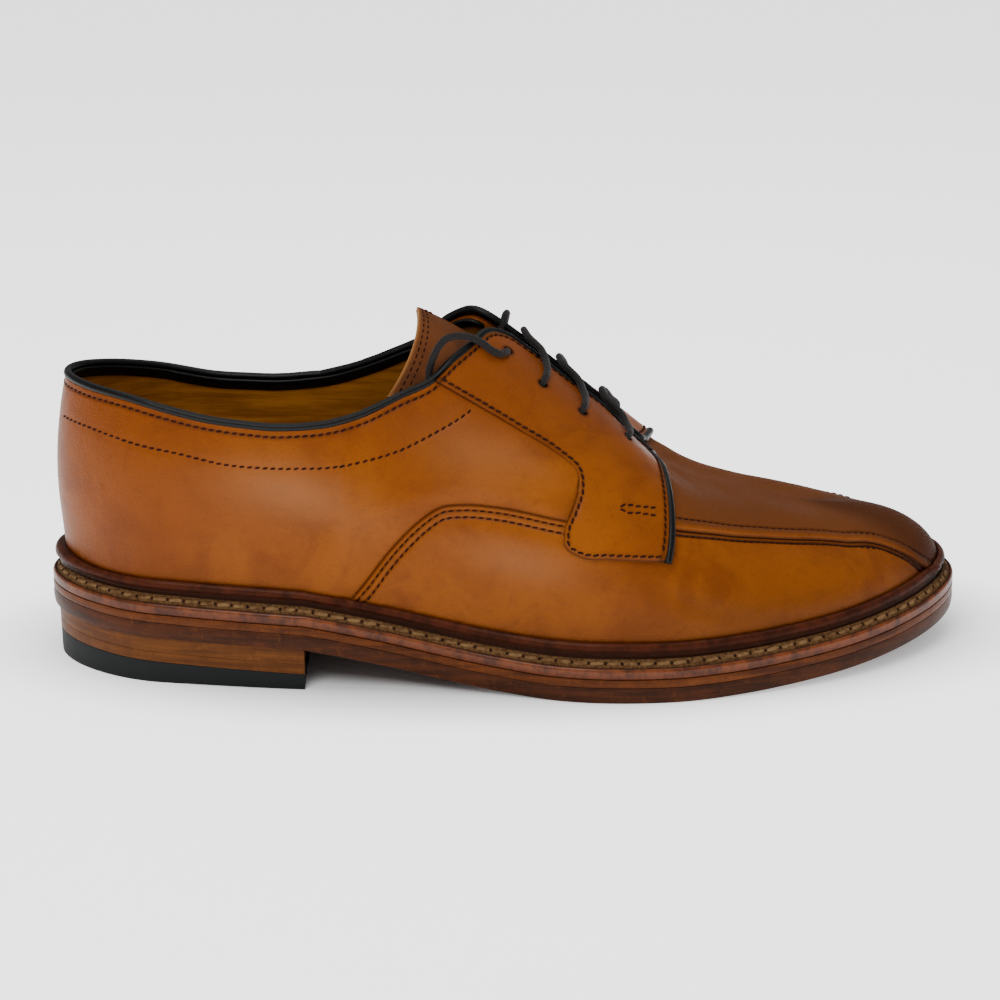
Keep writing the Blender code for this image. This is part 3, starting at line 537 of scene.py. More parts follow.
def wall(outer, inner, faces):
    """A closed wall: faces on the outer points, the same on the inner ones, and all free edges joined."""
    count = len(outer)
    free = free_edges(faces, count)
    sides = np.stack([free[:, 1], free[:, 0], free[:, 0] + count, free[:, 1] + count], -1)
    return np.concatenate([outer, inner]), np.concatenate([faces, faces[:, ::-1] + count, sides])


def tube(path, normal, profile, closed=False):
    """A profile of (sideways, outward) points carried along a path whose outward direction is normal."""
    tangent = unit(np.gradient(path, axis=0))
    if closed:
        tangent = unit(np.roll(path, -1, 0) - np.roll(path, 1, 0))
    side = unit(np.cross(tangent, normal))
    up = np.cross(side, tangent)
    points = path[:, None] + side[:, None] * profile[:, 0, None] + up[:, None] * profile[:, 1, None]
    rows, columns = points.shape[:2]
    index = grid_index(rows, columns)
    ring = np.concatenate([index, index[:, :1]], 1)
    if closed:
        return points.reshape(-1, 3), [quads(np.concatenate([ring, ring[:1]]))]
    return points.reshape(-1, 3), [quads(ring), index[:1], index[-1:, ::-1]]


def tube_uv(path, columns):
    """UV of a tube: length along it in metres, and the share of the way round."""
    run = lengths(path)
    u, v = np.broadcast_arrays(run[:, None], np.arange(columns)[None, :] / columns)
    return np.stack([u, v], -1).reshape(-1, 2)


def circle(radius, sides, flat=1.0):
    """A round profile, flattened outward by flat."""
    angle = np.linspace(0, 2 * np.pi, sides, endpoint=False)
    return np.stack([np.cos(angle) * radius, np.sin(angle) * radius * flat], -1)


def spline(points, count):
    """count evenly spaced points on a smooth curve through the given ones."""
    points = np.asarray(points, float)
    run = lengths(points)
    fine = np.linspace(0, run[-1], 40 * len(points))
    curve = pick(points, run, fine, smooth)
    length = lengths(curve)
    return pick(curve, length, np.linspace(0, length[-1], count))


# Shader nodes


class Number:
    """A number that varies over a surface. Arithmetic on it adds Math nodes."""

    def __init__(self, look, socket):
        self.look, self.socket = look, socket

    def __add__(self, other):
        return self.look.math("ADD", self, other)

    def __radd__(self, other):
        return self.look.math("ADD", other, self)

    def __sub__(self, other):
        return self.look.math("SUBTRACT", self, other)

    def __rsub__(self, other):
        return self.look.math("SUBTRACT", other, self)

    def __mul__(self, other):
        return self.look.math("MULTIPLY", self, other)

    def __truediv__(self, other):
        return self.look.math("DIVIDE", self, other)

    def clamp(self):
        """Kept between 0 and 1."""
        return Number(self.look, self.look.node("ShaderNodeClamp", {}, Value=self).outputs[0])

    def step(self, low, high):
        """0 below low, 1 above high, smooth between."""
        node = self.look.node("ShaderNodeMapRange", {"interpolation_type": "SMOOTHSTEP"},
                              Value=self, From_Min=low, From_Max=high)
        return Number(self.look, node.outputs[0])


class Look:
    """A material and the nodes that make its finish."""

    def __init__(self, name):
        self.material = bpy.data.materials.new(name)
        self.material.use_nodes = True
        self.tree = self.material.node_tree
        self.tree.nodes.clear()
        self.place = self.node("ShaderNodeTexCoord").outputs["Object"]

    def node(self, kind, settings=None, **values):
        """A node of a kind, with its settings first and then its sockets' values or links."""
        node = self.tree.nodes.new(kind)
        for key, value in (settings or {}).items():
            setattr(node, key, value)
        for key, value in values.items():
            self.feed(node.inputs[int(key[1:]) if key[1:].isdigit() else key.replace("_", " ")], value)
        return node

    def feed(self, socket, value):
        """Links a socket or number, or sets a constant."""
        if isinstance(value, Number):
            value = value.socket
        if isinstance(value, bpy.types.NodeSocket):
            self.tree.links.new(value, socket)
        else:
            socket.default_value = value

    def math(self, operation, first, second):
        """One Math node."""
        node = self.node("ShaderNodeMath", {"operation": operation}, _0=first, _1=second)
        return Number(self, node.outputs[0])

    def stretched(self, x, y, z):
        """Object coordinates scaled on each axis."""
        return self.node("ShaderNodeMapping", {}, Vector=self.place, Scale=(x, y, z)).outputs[0]

    def noise(self, scale, detail=2.0, roughness=0.5, where=None, warp=0.0):
        """Noise of a scale in turns a metre."""
        node = self.node("ShaderNodeTexNoise", {}, Vector=where or self.place, Scale=scale, Detail=detail,
                         Roughness=roughness, Distortion=warp)
        return Number(self, node.outputs[0])

    def cells(self, scale):
        """Distance to the nearest of scattered cell centres."""
        return Number(self, self.node("ShaderNodeTexVoronoi", {}, Vector=self.place, Scale=scale).outputs[0])

    def mark(self, name):
        """A number kept at the mesh's points."""
        node = self.node("ShaderNodeAttribute", {"attribute_name": name})
        return Number(self, node.outputs["Fac"])

    def blend(self, factor, first, second):
        """Two colours mixed."""
        node = self.node("ShaderNodeMix", {"data_type": "RGBA"}, _0=factor, _6=first, _7=second)
        return node.outputs[2]

    def bump(self, height, distance, strength=1.0, normal=None):
        """A normal tilted by a height."""
        node = self.node("ShaderNodeBump", {}, Height=height, Distance=distance, Strength=strength)
        if normal is not None:
            self.feed(node.inputs["Normal"], normal)
        return node.outputs[0]

    def finish(self, colour, roughness, normal=None, **constants):
        """The Principled shader and the output."""
        shader = self.node("ShaderNodeBsdfPrincipled", {}, Base_Color=colour, Roughness=roughness,
                           **constants)
        if normal is not None:
            self.feed(shader.inputs["Normal"], normal)
        self.node("ShaderNodeOutputMaterial", {}, Surface=shader.outputs[0])
        return self.material


def rgb(r, g, b):
    """A colour from screen values of 0 to 255."""
    def linear(v):
        v = v / 255
        return v / 12.92 if v <= 0.04045 else ((v + 0.055) / 1.055) ** 2.4
    return (linear(r), linear(g), linear(b), 1.0)


def calf_finish():
    """Polished tan calf: mottled orange, darker where its darkness mark holds painted shade and darkening,
    paler in painted sheen patches, with fine grain that breaks up its sheen.
    """
    look = Look("tan calf")
    mottle = look.noise(42, 4, 0.62, warp=0.8)
    cloud = look.noise(14, 3, 0.55)
    speck = look.noise(330, 3, 0.65)
    brushed = look.noise(1, 3, 0.6, look.stretched(60, 150, 300))
    pores = look.cells(1300)
    grain = look.noise(1700, 3, 0.7)
    darkening_and_shade, fade, matt = look.mark("darkening_and_shade"), look.mark("fade"), look.mark("matt")
    colour = look.blend(cloud.step(0.36, 0.66), rgb(118, 56, 5), rgb(132, 68, 10))
    colour = look.blend(mottle.step(0.42, 0.72) * 0.6, colour, rgb(98, 42, 3))
    colour = look.blend(speck.step(0.5, 0.8) * 0.3, colour, rgb(90, 42, 8))
    colour = look.blend((brushed.step(0.55, 0.85) * 0.25).clamp(), colour, rgb(96, 48, 12))
    # Painted sheen: pale pinkish tan where the fade mark is high.
    colour = look.blend((fade * 0.7).clamp(), colour, rgb(142, 86, 42))
    colour = look.blend(matt * 0.85, colour, rgb(94, 50, 20))
    # Darkness mark: painted shade beside seams, in the stitch groove and in creases, and darker towards the
    # welt and the toe's tip.
    colour = look.blend(darkening_and_shade.clamp(), colour, rgb(40, 13, 5))
    roughness = 0.34 + mottle * 0.12 + matt * 0.2 + grain * 0.08
    coat = ((1 - matt) * 0.16 + fade * 0.3 - darkening_and_shade * 0.2).clamp()
    coarse = look.bump(pores.step(0.0, 0.5) * 0.6 + grain, 0.00022, 0.85)
    normal = look.bump(look.noise(190, 3, 0.6), 0.0006, 0.3, coarse)
    return look.finish(colour, roughness, normal, Coat_Weight=coat, Coat_Roughness=0.3, Coat_IOR=1.4,
                       Specular_IOR_Level=0.12, Specular_Tint=(1.0, 0.66, 0.4, 1.0))


def tongue_finish():
    """Matt calf with a dry, paler cut edge."""
    look = Look("matt tan calf")
    mottle = look.noise(60, 4, 0.6)
    edge = look.mark("edge")
    colour = look.blend(mottle.step(0.35, 0.7), rgb(98, 52, 20), rgb(70, 36, 14))
    colour = look.blend(edge.clamp(), colour, rgb(150, 100, 52))
    normal = look.bump(look.noise(1400, 3, 0.6), 0.00015, 0.5)
    return look.finish(colour, 0.55 + mottle * 0.1, normal, Specular_IOR_Level=0.12)


def lining_finish():
    """Smooth lining leather, honey coloured, with a fine horizontal grain."""
    look = Look("lining leather")
    streak = look.noise(1, 4, 0.65, look.stretched(30, 60, 420))
    mottle = look.noise(50, 3, 0.6)
    colour = look.blend(streak.step(0.35, 0.7), rgb(164, 104, 34), rgb(122, 72, 20))
    colour = look.blend(mottle.step(0.4, 0.8) * 0.4, colour, rgb(100, 56, 14))
    normal = look.bump(look.noise(1300, 2, 0.6) + streak * 0.5, 0.0001, 0.4)
    return look.finish(colour, 0.45 + mottle * 0.1, normal, Specular_IOR_Level=0.25)


def stained_finish(name, light, dark, worn, gloss, along=25, across=420):
    """Stained and burnished sole leather: long fibres along the edge, mottling and rubbed spots."""
    look = Look(name)
    fibres = look.noise(1, 4, 0.6, look.stretched(along, along, across))
    mottle = look.noise(150, 4, 0.7)
    rubbed = look.noise(420, 3, 0.75).step(0.55, 0.72)
    colour = look.blend(fibres.step(0.35, 0.7), light, dark)
    colour = look.blend(mottle.step(0.42, 0.72) * 0.7, colour, dark)
    colour = look.blend(rubbed * 0.5, colour, worn)
    normal = look.bump(fibres + look.noise(1200, 3, 0.6) * 0.4, 0.0003, 0.5)
    return look.finish(colour, gloss + rubbed * 0.18 + mottle * 0.1, normal, Coat_Weight=0.06,
                       Coat_Roughness=0.3, Specular_IOR_Level=0.1, Specular_Tint=(1.0, 0.7, 0.5, 1.0))


def welt_finish():
    """Welt leather: dark red-brown ridge, worn pale strip under the stitches, burnished brown rim, and
    painted shade in the valleys between them.
    """
    look = Look("welt leather")
    mottle = look.noise(170, 4, 0.7)
    speck = look.noise(900, 3, 0.7)
    fibres = look.noise(1, 3, 0.6, look.stretched(60, 60, 500))
    strip, rim_mark, valley_shade = look.mark("strip"), look.mark("rim"), look.mark("valley_shade")
    worn = look.blend(speck.step(0.35, 0.7), rgb(94, 68, 42), rgb(58, 34, 18))
    rubbed = look.blend(mottle.step(0.38, 0.66), rgb(104, 50, 18), rgb(62, 26, 10))
    colour = look.blend(mottle.step(0.35, 0.7), rgb(62, 24, 12), rgb(38, 13, 7))
    colour = look.blend(strip.clamp(), colour, worn)
    colour = look.blend(rim_mark.clamp(), colour, rubbed)
    # Painted shade: the valleys under the rim, between rim and strip and at the ridge's foot go nearly black.
    colour = look.blend((valley_shade * 0.8).clamp(), colour, rgb(24, 7, 3))
    normal = look.bump(speck + fibres * 0.5, 0.0003, 0.8)
    coat = (rim_mark * 0.4 - valley_shade).clamp()
    return look.finish(colour, 0.42 + strip * 0.3 + mottle * 0.1, normal, Coat_Weight=coat,
                       Coat_Roughness=0.24, Specular_IOR_Level=0.1, Specular_Tint=(1.0, 0.7, 0.5, 1.0))


def rubber_finish():
    """Black rubber with a faint moulded grain and grey dust."""
    look = Look("black rubber")
    dust = look.noise(220, 4, 0.7)
    colour = look.blend(dust.step(0.5, 0.8) * 0.4, rgb(8, 11, 12), rgb(22, 24, 24))
    normal = look.bump(look.noise(1600, 2, 0.5), 0.0001, 0.5)
    return look.finish(colour, 0.55 + dust * 0.15, normal, Specular_IOR_Level=0.2)


def binding_finish():
    """Black bound edge: thin glossy leather with fine wrinkles across it."""
    look = Look("black binding")
    wrinkle = look.noise(700, 3, 0.6)
    colour = look.blend(wrinkle.step(0.4, 0.8) * 0.5, rgb(4, 4, 4), rgb(16, 12, 11))
    normal = look.bump(wrinkle + look.noise(2200, 2, 0.5) * 0.4, 0.00016, 0.6)
    return look.finish(colour, 0.36 + wrinkle * 0.16, normal, Coat_Weight=0.06, Coat_Roughness=0.22,
                       Specular_IOR_Level=0.15)


def lace_finish():
    """Waxed cotton cord: two sets of strands wound round it against each other."""
    look = Look("black waxed cotton")
    uv = look.node("ShaderNodeTexCoord").outputs["UV"]
    parts = look.node("ShaderNodeSeparateXYZ", {}, Vector=uv)
    run, turn = Number(look, parts.outputs[0]), Number(look, parts.outputs[1])
    first = look.math("SINE", (run * 900 + turn * 4) * 2 * math.pi, 0)
    second = look.math("SINE", (run * 900 - turn * 4) * 2 * math.pi, 0)
    weave = look.math("MAXIMUM", first, second) * 0.5 + 0.5
    fuzz = look.noise(3000, 2, 0.6)
    # Darker between the strands, lighter on their crowns: painted shade in the weave's grooves.
    colour = look.blend(weave.clamp(), rgb(5, 4, 4), rgb(24, 19, 17))
    normal = look.bump(weave + fuzz * 0.4, 0.00016, 0.8)
    return look.finish(colour, 0.62 + fuzz * 0.15, normal, Specular_IOR_Level=0.2, Sheen_Weight=0.08)


def thread_finish(name, light, dark, roughness):
    """Twisted sewing thread, stained in places."""
    look = Look(name)
    stain = look.noise(260, 4, 0.65)
    colour = look.blend(stain.step(0.35, 0.7), light, dark)
    normal = look.bump(look.noise(4200, 2, 0.5), 0.0001, 0.6)
    return look.finish(colour, roughness + stain * 0.1, normal, Specular_IOR_Level=0.08)


# The upper

UPPER_LINES = (200, 100)
ROWS_FOOT, ROWS_SEAM, ROWS_SIDE, ROWS_TOP, ROWS_INSIDE = 28, 48, 38, 10, 22
SEAM_BAND, TOP_BAND = 6.0 * MM, 4.0 * MM


def upper_rows(side, t):
    """Heights w of the upper's rows: close rows hug the seams and the top edge."""
    station = station_of(t)
    share = ramp((station - 0.58) / 0.02)
    seam = column(WING_SEAM, "w", station) * (1 - share) + column(PANEL_SEAM, "w", station) * share
    top, reach = top_edge(side, t), girth(side, t)
    seam = np.maximum(seam, 0.06)
    band = np.minimum(SEAM_BAND / reach, 0.48 * seam)
    high = np.minimum(SEAM_BAND / reach, 0.4 * (top - seam))
    stops = [0 * t, seam - band, seam + high, top - np.minimum(TOP_BAND / reach, 0.3 * (top - seam)), top]
    rows = []
    for a, b, count in zip(stops[:-1], stops[1:], (ROWS_FOOT, ROWS_SEAM, ROWS_SIDE, ROWS_TOP)):
        rows.append(a[:, None] + (b - a)[:, None] * np.arange(count)[None, :] / count)
    return np.concatenate(rows + [top[:, None]], 1)


def joined_index(lines, rows, start, t):
    """Index grids of both sides. They share the lines at heel and toe, and the crest ahead of the throat."""
    lateral = grid_index(lines, rows, start)
    medial = lateral + lines * rows
    medial[0], medial[-1] = lateral[0], lateral[-1]
    front = station_of(t) > THROAT - 1e-6
    medial[front, -1] = lateral[front, -1]
    return lateral, medial


# Painted shadow lines beside each seam, under the lapped edge and in the stitch grooves: their place over it
# and half width in mm, and their strength
WING_DARK = dict(place=[.15, -1.55, -3.75], strength=[.75, .35, .35], width=[.35, .5, .5])
PANEL_DARK = dict(place=[-.35, -1.75, 3.85, -.9], strength=[.95, .8, .35, .3], width=[.35, .45, .5, .9])
# Pale patches of painted sheen: middle, half sizes, strength, and how far each leans back with height
SHEEN_PATCHES = dict(
    station=[.26, .46, .50],
    w=[.33, .50, .25],
    along=[.07, .06, .06],
    across=[.09, .08, .05],
    strength=[.8, .6, .6],
    lean=[.25, 0, 0],
    level=[.36, .36, .36],
)


def dark_lines(table, distance):
    """Painted shadow lines at their places beside a seam."""
    return sum(strength * hill((distance - place) / width) for place, strength, width in zip(*table.values()))


def darkening_and_shade(side, t, w, depth):
    """Darkness of the calf, 0 to 1: darker towards the welt, low on the sides and at the toe's tip, with
    painted shade beside the seams, in the topline's stitch groove and in the creases' hollows.
    """
    station = station_of(t)
    foot = w * girth(side, t) / MM
    on_wing = (station < THROAT) * ramp((w - 0.02) / 0.03)
    on_panel = ramp((station - THROAT + 0.01) / 0.01) * ramp((w - 0.01) / 0.03)
    topline = (top_edge(side, t) - w) * girth(side, t) / MM
    dark = 0.55 * np.exp(-foot / 3.5) + 0.22 * np.exp(-foot / 16)
    # Painted shadow along the wing and toe panel seams.
    dark = dark + on_wing * dark_lines(WING_DARK, seam_distance(WING_SEAM, side, t, w) / MM)
    dark = dark + on_panel * dark_lines(PANEL_DARK, seam_distance(PANEL_SEAM, side, t, w) / MM)
    # Painted shade in the topline's stitch groove.
    dark = dark + 0.45 * hill((topline - TOPLINE_STITCH) / 0.8) * (station < THROAT)
    # Painted shade in the creases' hollows, deeper ones darker.
    dark = dark + np.clip(depth / (0.6 * MM), 0, 1) * 0.12
    dark = dark + 0.55 * ramp((station - 0.955) / 0.03) * ramp((w - 0.1) / 0.1)
    dark = dark + 0.22 * hill((station - 0.76) / 0.09) * hill((w - 0.14) / 0.09)
    dark = dark + 0.16 * (1 - ramp((w - 0.22) / 0.2)) * ramp((station - 0.48) / 0.12)
    dark = dark + 0.12 * (1 - ramp((w - 0.2) / 0.2)) * (1 - ramp((station - 0.16) / 0.12))
    return np.clip(dark, 0, 1)


def painted_sheen(t, w):
    """Paleness of the calf, 0 to 1: patches of painted sheen."""
    station = station_of(t)
    total = 0
    for middle, height, along_it, across_it, strength, lean, level in zip(*SHEEN_PATCHES.values()):
        back = station - middle - lean * (level - w)
        total = total + strength * hill(back / along_it) * hill((w - height) / across_it)
    return np.clip(total, 0, 1)


def calf_marks(side, t, w):
    """The calf's three marks at each point: darkness with painted shade, paleness of painted sheen, and matt
    on the toe panel.
    """
    dark = darkening_and_shade(side, t, w, creases(t, u_of(side, w)))
    panel = seam_distance(PANEL_SEAM, side, t, w) / MM
    matt = ramp((panel - 1) / 1.5) * ramp((station_of(t) - THROAT) / 0.01)
    return np.stack([dark.ravel(), painted_sheen(t, w).ravel(), matt.ravel()])


def make_upper(calf, lining):
    """The calf wall and its lining: a closed shell, open below, at the collar and along the slot.

    The outer skin is skin(t, u, relief). The inner skin lies UPPER_WALL under the last.
    """
    t = foot_lines(UPPER_LINES)
    outer_rows = ROWS_FOOT + ROWS_SEAM + ROWS_SIDE + ROWS_TOP + 1
    outer_index = joined_index(len(t), outer_rows, 0, t)
    inner_index = joined_index(len(t), ROWS_INSIDE, 2 * len(t) * outer_rows, t)
    outer, inner, marks, faces, inside = [], [], [], [], []
    behind = np.flatnonzero(station_of(t) < THROAT + 1e-6)
    for side, outside, lined in zip(SIDES, outer_index, inner_index):
        flip = side == MEDIAL
        w = upper_rows(side, t)
        w_in = top_edge(side, t)[:, None] * np.linspace(0, 1, ROWS_INSIDE)[None, :]
        line, line_in = np.broadcast_to(t[:, None], w.shape), np.broadcast_to(t[:, None], w_in.shape)
        out = skin(line, u_of(side, w), relief(side, line, w))
        under = skin(line_in, u_of(side, w_in), lining_relief(side, line_in) - UPPER_WALL)
        for grid, kept in ((out, outer), (under, inner)):
            grid[:, 0, 2] = welt_top(grid[:, 0, 0] + ORIGIN_X) + GAP
            kept.append(grid.reshape(-1, 3))
        marks.append(calf_marks(side, line, w))
        faces.append(quads(outside, flip))
        faces.append(rim(outside[behind, -1], lined[behind, -1], flip))
        faces.append(rim(outside[:, 0], lined[:, 0], not flip))
        inside.append(quads(lined, not flip))
    marks = np.concatenate(marks + [np.zeros((3, sum(len(p) for p in inner)))], 1)
    piece = add_piece("upper_leather", np.concatenate(outer + inner),
                      [np.concatenate(faces), np.concatenate(inside)], [calf, lining], "calf_leather",
                      ["upper"], marks=dict(zip(("darkening_and_shade", "fade", "matt"), marks)))
    slots = np.zeros(len(piece.data.polygons), np.int32)
    slots[sum(len(f) for f in faces):] = 1
    piece.data.polygons.foreach_set("material_index", slots)


def lining_relief(side, t):
    """The lining's overlap at the heel: a step where the heel pocket laps the quarter's lining."""
    if side == LATERAL:
        return 0 * t
    return -0.4 * MM * ramp((station_of(t) - 0.125) / 0.004)


# Lacing tabs

TAB_ALONG, TAB_ACROSS = 150, 62
# Reach of the rounded corner in units of w, and how long a station is against w
TAB_CORNER, STATION_PER_W = 0.07, 2.5
EDGE_ROUND, EDGE_DROP = 1.1 * MM, 0.62 * FACING
EDGE_GROOVE, BOUND_GROOVE = 0.14 * MM, 0.16 * MM
EDGE_HALF, BOUND_HALF = 0.5 * MM, 0.45 * MM


def run_of(points):
    """Length along a (station, w) line, in units of w."""
    return lengths(points * [STATION_PER_W, 1])


def spread(points, count, start=0.0, end=None):
    """count evenly spaced points on a line, from one length along it to another."""
    run = run_of(points)
    share = np.linspace(start, run[-1] if end is None else end, count)
    return pick(points, run, share)


def along(table, count):
    """count points on a table's (station, w) curve, evenly spaced by length."""
    points = np.stack([np.array(table["station"]), np.array(table["w"])], -1)
    run = run_of(points)
    return pick(points, run, np.linspace(0, run[-1], count), smooth)


def round_corner(first, second, reach):
    """Two lines that meet end to start, bent into one arc that begins and ends reach from the corner."""
    a = spread(first, 60, 0, run_of(first)[-1] - reach)
    b = spread(second, 60, reach)
    s = np.linspace(0, 1, 41)[:, None]
    arc = (1 - s) ** 2 * a[-1] + 2 * s * (1 - s) * first[-1] + s ** 2 * b[0]
    return np.concatenate([a[:-1], arc[:21]]), np.concatenate([arc[20:], b[1:]])


def tab_top(side, count):
    """The tab's top edge, which is the collar's from the tab's outer corner to its inner one."""
    station = np.linspace(TAB_OUTER["station"][0], TAB_TOP, count)
    collar = column(COLLAR, name_of(side), station)
    return np.stack([station, np.minimum(collar, slot_edge(side, t_of(station)))], -1)


def tab_inner(side, count):
    """The tab's inner edge, along the lacing slot."""
    station = np.linspace(TAB_TOP, TAB_THROAT, count)
    return np.stack([station, slot_edge(side, t_of(station))], -1)


def tab_patch(side, rows=TAB_ALONG + 1, columns=TAB_ACROSS + 1):
    """The lacing tab as a Coons patch between its four edges, in (station, w)."""
    front, outer = along(TAB_FRONT, columns), along(TAB_OUTER, rows)
    top, inner = round_corner(tab_top(side, 80), tab_inner(side, 160), TAB_CORNER)
    top, inner = spread(top, columns), spread(inner, rows)
    outer = outer + (top[0] - outer[0]) * np.linspace(1, 0, rows)[:, None] ** 2
    inner = inner + (top[-1] - inner[0]) * np.linspace(1, 0, rows)[:, None] ** 2
    front = front + (inner[-1] - front[-1]) * np.linspace(0, 1, columns)[:, None]
    s = np.linspace(0, 1, rows)[:, None, None]
    u = np.linspace(0, 1, columns)[None, :, None]
    across = outer[:, None] * (1 - u) + inner[:, None] * u
    down = top[None] * (1 - s) + front[None] * s
    corners = (top[0] * (1 - s) + front[0] * s) * (1 - u) + (top[-1] * (1 - s) + inner[-1] * s) * u
    return across + down - corners


def tab_rest(t, w):
    """How far a tab's underside stands off the last: a smooth cover over the seams beneath it."""
    station = station_of(t)
    over_panel = ramp((station - THROAT + COVER_START) / COVER_EASE)
    over_wing = ramp((column(WING_SEAM, "w", station) - w) / COVER_WING + 1)
    return TAB_GAP + PANEL_LAP * np.maximum(over_panel, over_wing)


def eyelets(side):
    """The eyelets' stations and w on one side, from the top down."""
    station = np.array(EYELETS["station"])
    return station, slot_edge(side, t_of(station), np.array(EYELETS["back"]) * MM)


def edge_distance(points, edge):
    """Distance of each point from a line of points."""
    flat = points.reshape(-1, 3)
    gap = np.concatenate([np.linalg.norm(part[:, None] - edge[None], axis=-1).min(1)
                          for part in np.array_split(flat, 8)])
    return gap.reshape(points.shape[:-1])


def make_tab(side, calf):
    """A lacing tab: a Coons patch on the last with a rounded outer edge and four punched holes, darkened with
    painted shade at its edges, in its stitch grooves and round its holes.
    """
    patch = tab_patch(side)
    t, w = t_of(patch[..., 0]), patch[..., 1]
    rest = tab_rest(t, w)
    base = skin(t, u_of(side, w), rest)
    outer_gap = edge_distance(base, base[:, 0])
    bound = np.concatenate([base[0], base[1:, -1], base[-1, -2::-1]])
    bound_gap = edge_distance(base, bound)
    corner = 1 - np.clip(outer_gap / EDGE_ROUND, 0, 1)
    round_off = EDGE_DROP * (1 - np.sqrt(np.clip(1 - corner ** 2, 0, 1)))
    grooves = EDGE_GROOVE * hill((outer_gap - EDGE_STITCH) / EDGE_HALF)
    grooves = grooves + BOUND_GROOVE * hill((bound_gap - BOUND_STITCH) / BOUND_HALF)
    outer = skin(t, u_of(side, w), rest + FACING - round_off - grooves)
    # Painted shade at the outer edge, in both stitch grooves and beside the bound edge.
    dark = 0.85 * np.exp(-outer_gap / EDGE_HALF) + 0.35 * hill((outer_gap - EDGE_STITCH) / EDGE_HALF)
    dark = dark + 0.4 * hill((bound_gap - BOUND_STITCH) / (0.6 * MM)) + 0.35 * np.exp(-bound_gap / (0.8 * MM))
    rows, columns = t.shape
    index = grid_index(rows, columns)
    faces = quads(index, side == MEDIAL)
    middle = base.reshape(-1, 3)[faces].mean(1)
    keep = np.ones(len(faces), bool)
    outer, base = outer.reshape(-1, 3), base.reshape(-1, 3)
    centres = [skin(t_of(s), np.array(u_of(side, w0)), 2 * MM) for s, w0 in zip(*eyelets(side))]
    for centre in centres:
        keep &= np.linalg.norm(middle - centre, axis=1) > math.hypot(EYELET / 2, 1.5 * MM)
    faces = faces[keep]
    for centre, station, w0 in zip(centres, *eyelets(side)):
        normal = unit(read(LAST_NORMAL, np.array(t_of(station)), np.array(u_of(side, w0))))
        for layer in (outer, base):
            radial = layer - centre
            radial = radial - (radial @ normal)[:, None] * normal
            gap = np.linalg.norm(radial, axis=1)
            used = np.isin(np.arange(len(layer)), faces) & free_points(faces, len(layer))
            edge = used & (gap < 1.5 * EYELET / 2)
            layer[edge] += radial[edge] * (EYELET / 2 / gap[edge] - 1)[:, None]
        gap = np.linalg.norm(outer - centre, axis=1)
        # Painted shade round each punched hole.
        dark = dark.ravel() + 0.7 * hill((gap - EYELET / 2) / (0.7 * MM))
    points, faces = wall(outer, base, faces)
    # The underside is dark all over: painted shade.
    dark = np.clip(np.concatenate([dark.ravel(), np.ones(len(base))]), 0, 1)
    name = name_of(side)
    marks = {"darkening_and_shade": dark, "fade": 0 * dark, "matt": 0 * dark}
    add_piece("tab_" + name, points, [faces], [calf], "calf_leather", ["facing_" + name], 50, marks=marks)


def free_points(faces, count):
    """Which points lie on a free edge."""
    mask = np.zeros(count, bool)
    mask[free_edges(faces, count).ravel()] = True
    return mask


TONGUE_ALONG, TONGUE_ACROSS = 90, 70
TONGUE_GROOVE, TONGUE_GROOVE_INSET = 0.12 * MM, 2.6 * MM


def tongue_line(station, across):
    """t of the tongue's lines: its free end slants back on the near side and forward on the far one."""
    near, far = column(TONGUE_ROWS, "slant", station), column(TONGUE_ROWS, "far_slant", station)
    return t_of(station - np.where(across < 0, near, far) * np.abs(across) ** 1.7)


def tongue_depth(station, across):
    """How far the tongue's outside lies under the last's surface."""
    return UPPER_WALL + column(TONGUE_ROWS, "depth", station) * MM * (1 - TONGUE_CURL * across ** 2)


def make_tongue(finish):
    """The tongue: a bent sheet under the lacing slot with a raw pale edge and a slanting free end."""
    rows, columns = TONGUE_ALONG, TONGUE_ACROSS
    station = np.linspace(TONGUE_ROWS["station"][0], TONGUE_ROWS["station"][-1], rows)[:, None]
    across = np.linspace(-1, 1, columns)[None, :]
    reach = column(TONGUE_ROWS, "half", station) * across
    line = tongue_line(station, across)
    depth = tongue_depth(station, across)
    outer = skin(line, 1 + reach, -depth)
    inner = skin(line, 1 + reach, -depth - TONGUE)
    free = np.concatenate([outer[:, 0], outer[0], outer[:, -1]])
    gap = edge_distance(outer, free)
    groove = TONGUE_GROOVE * hill((gap - TONGUE_GROOVE_INSET) / (0.5 * MM))
    outer = skin(line, 1 + reach, -depth - groove)
    faces = quads(grid_index(rows, columns))
    points, faces = wall(outer.reshape(-1, 3), inner.reshape(-1, 3), faces)
    edge = np.exp(-gap / (0.45 * MM)).ravel()
    add_piece("tongue_leather", points, [faces], [finish], "tongue_leather", ["tongue"], 50,
              marks={"edge": np.concatenate([edge, edge])})


# Bindings

BEAD_RADIUS, BEAD_ON_COLLAR = 1.35 * MM, -0.7 * MM
BEAD_POINTS, BEAD_SIDES = 1100, 16
FOLD_WIDTH, FOLD_THICK = 3.4 * MM, 0.7 * MM


def beside(t, u, offset, away):
    """Points on the last moved sideways in the surface by away, with mitred corners."""
    on = skin(t, u, offset)
    normal = unit(read(LAST_NORMAL, t, u))
    step = unit(np.diff(on, axis=0))
    along_it = np.concatenate([step[:1], step]) + np.concatenate([step, step[-1:]])
    half_turn = np.linalg.norm(along_it, axis=-1)[:, None] / 2
    return on + unit(np.cross(normal, along_it)) * away / np.maximum(half_turn, 0.5), normal


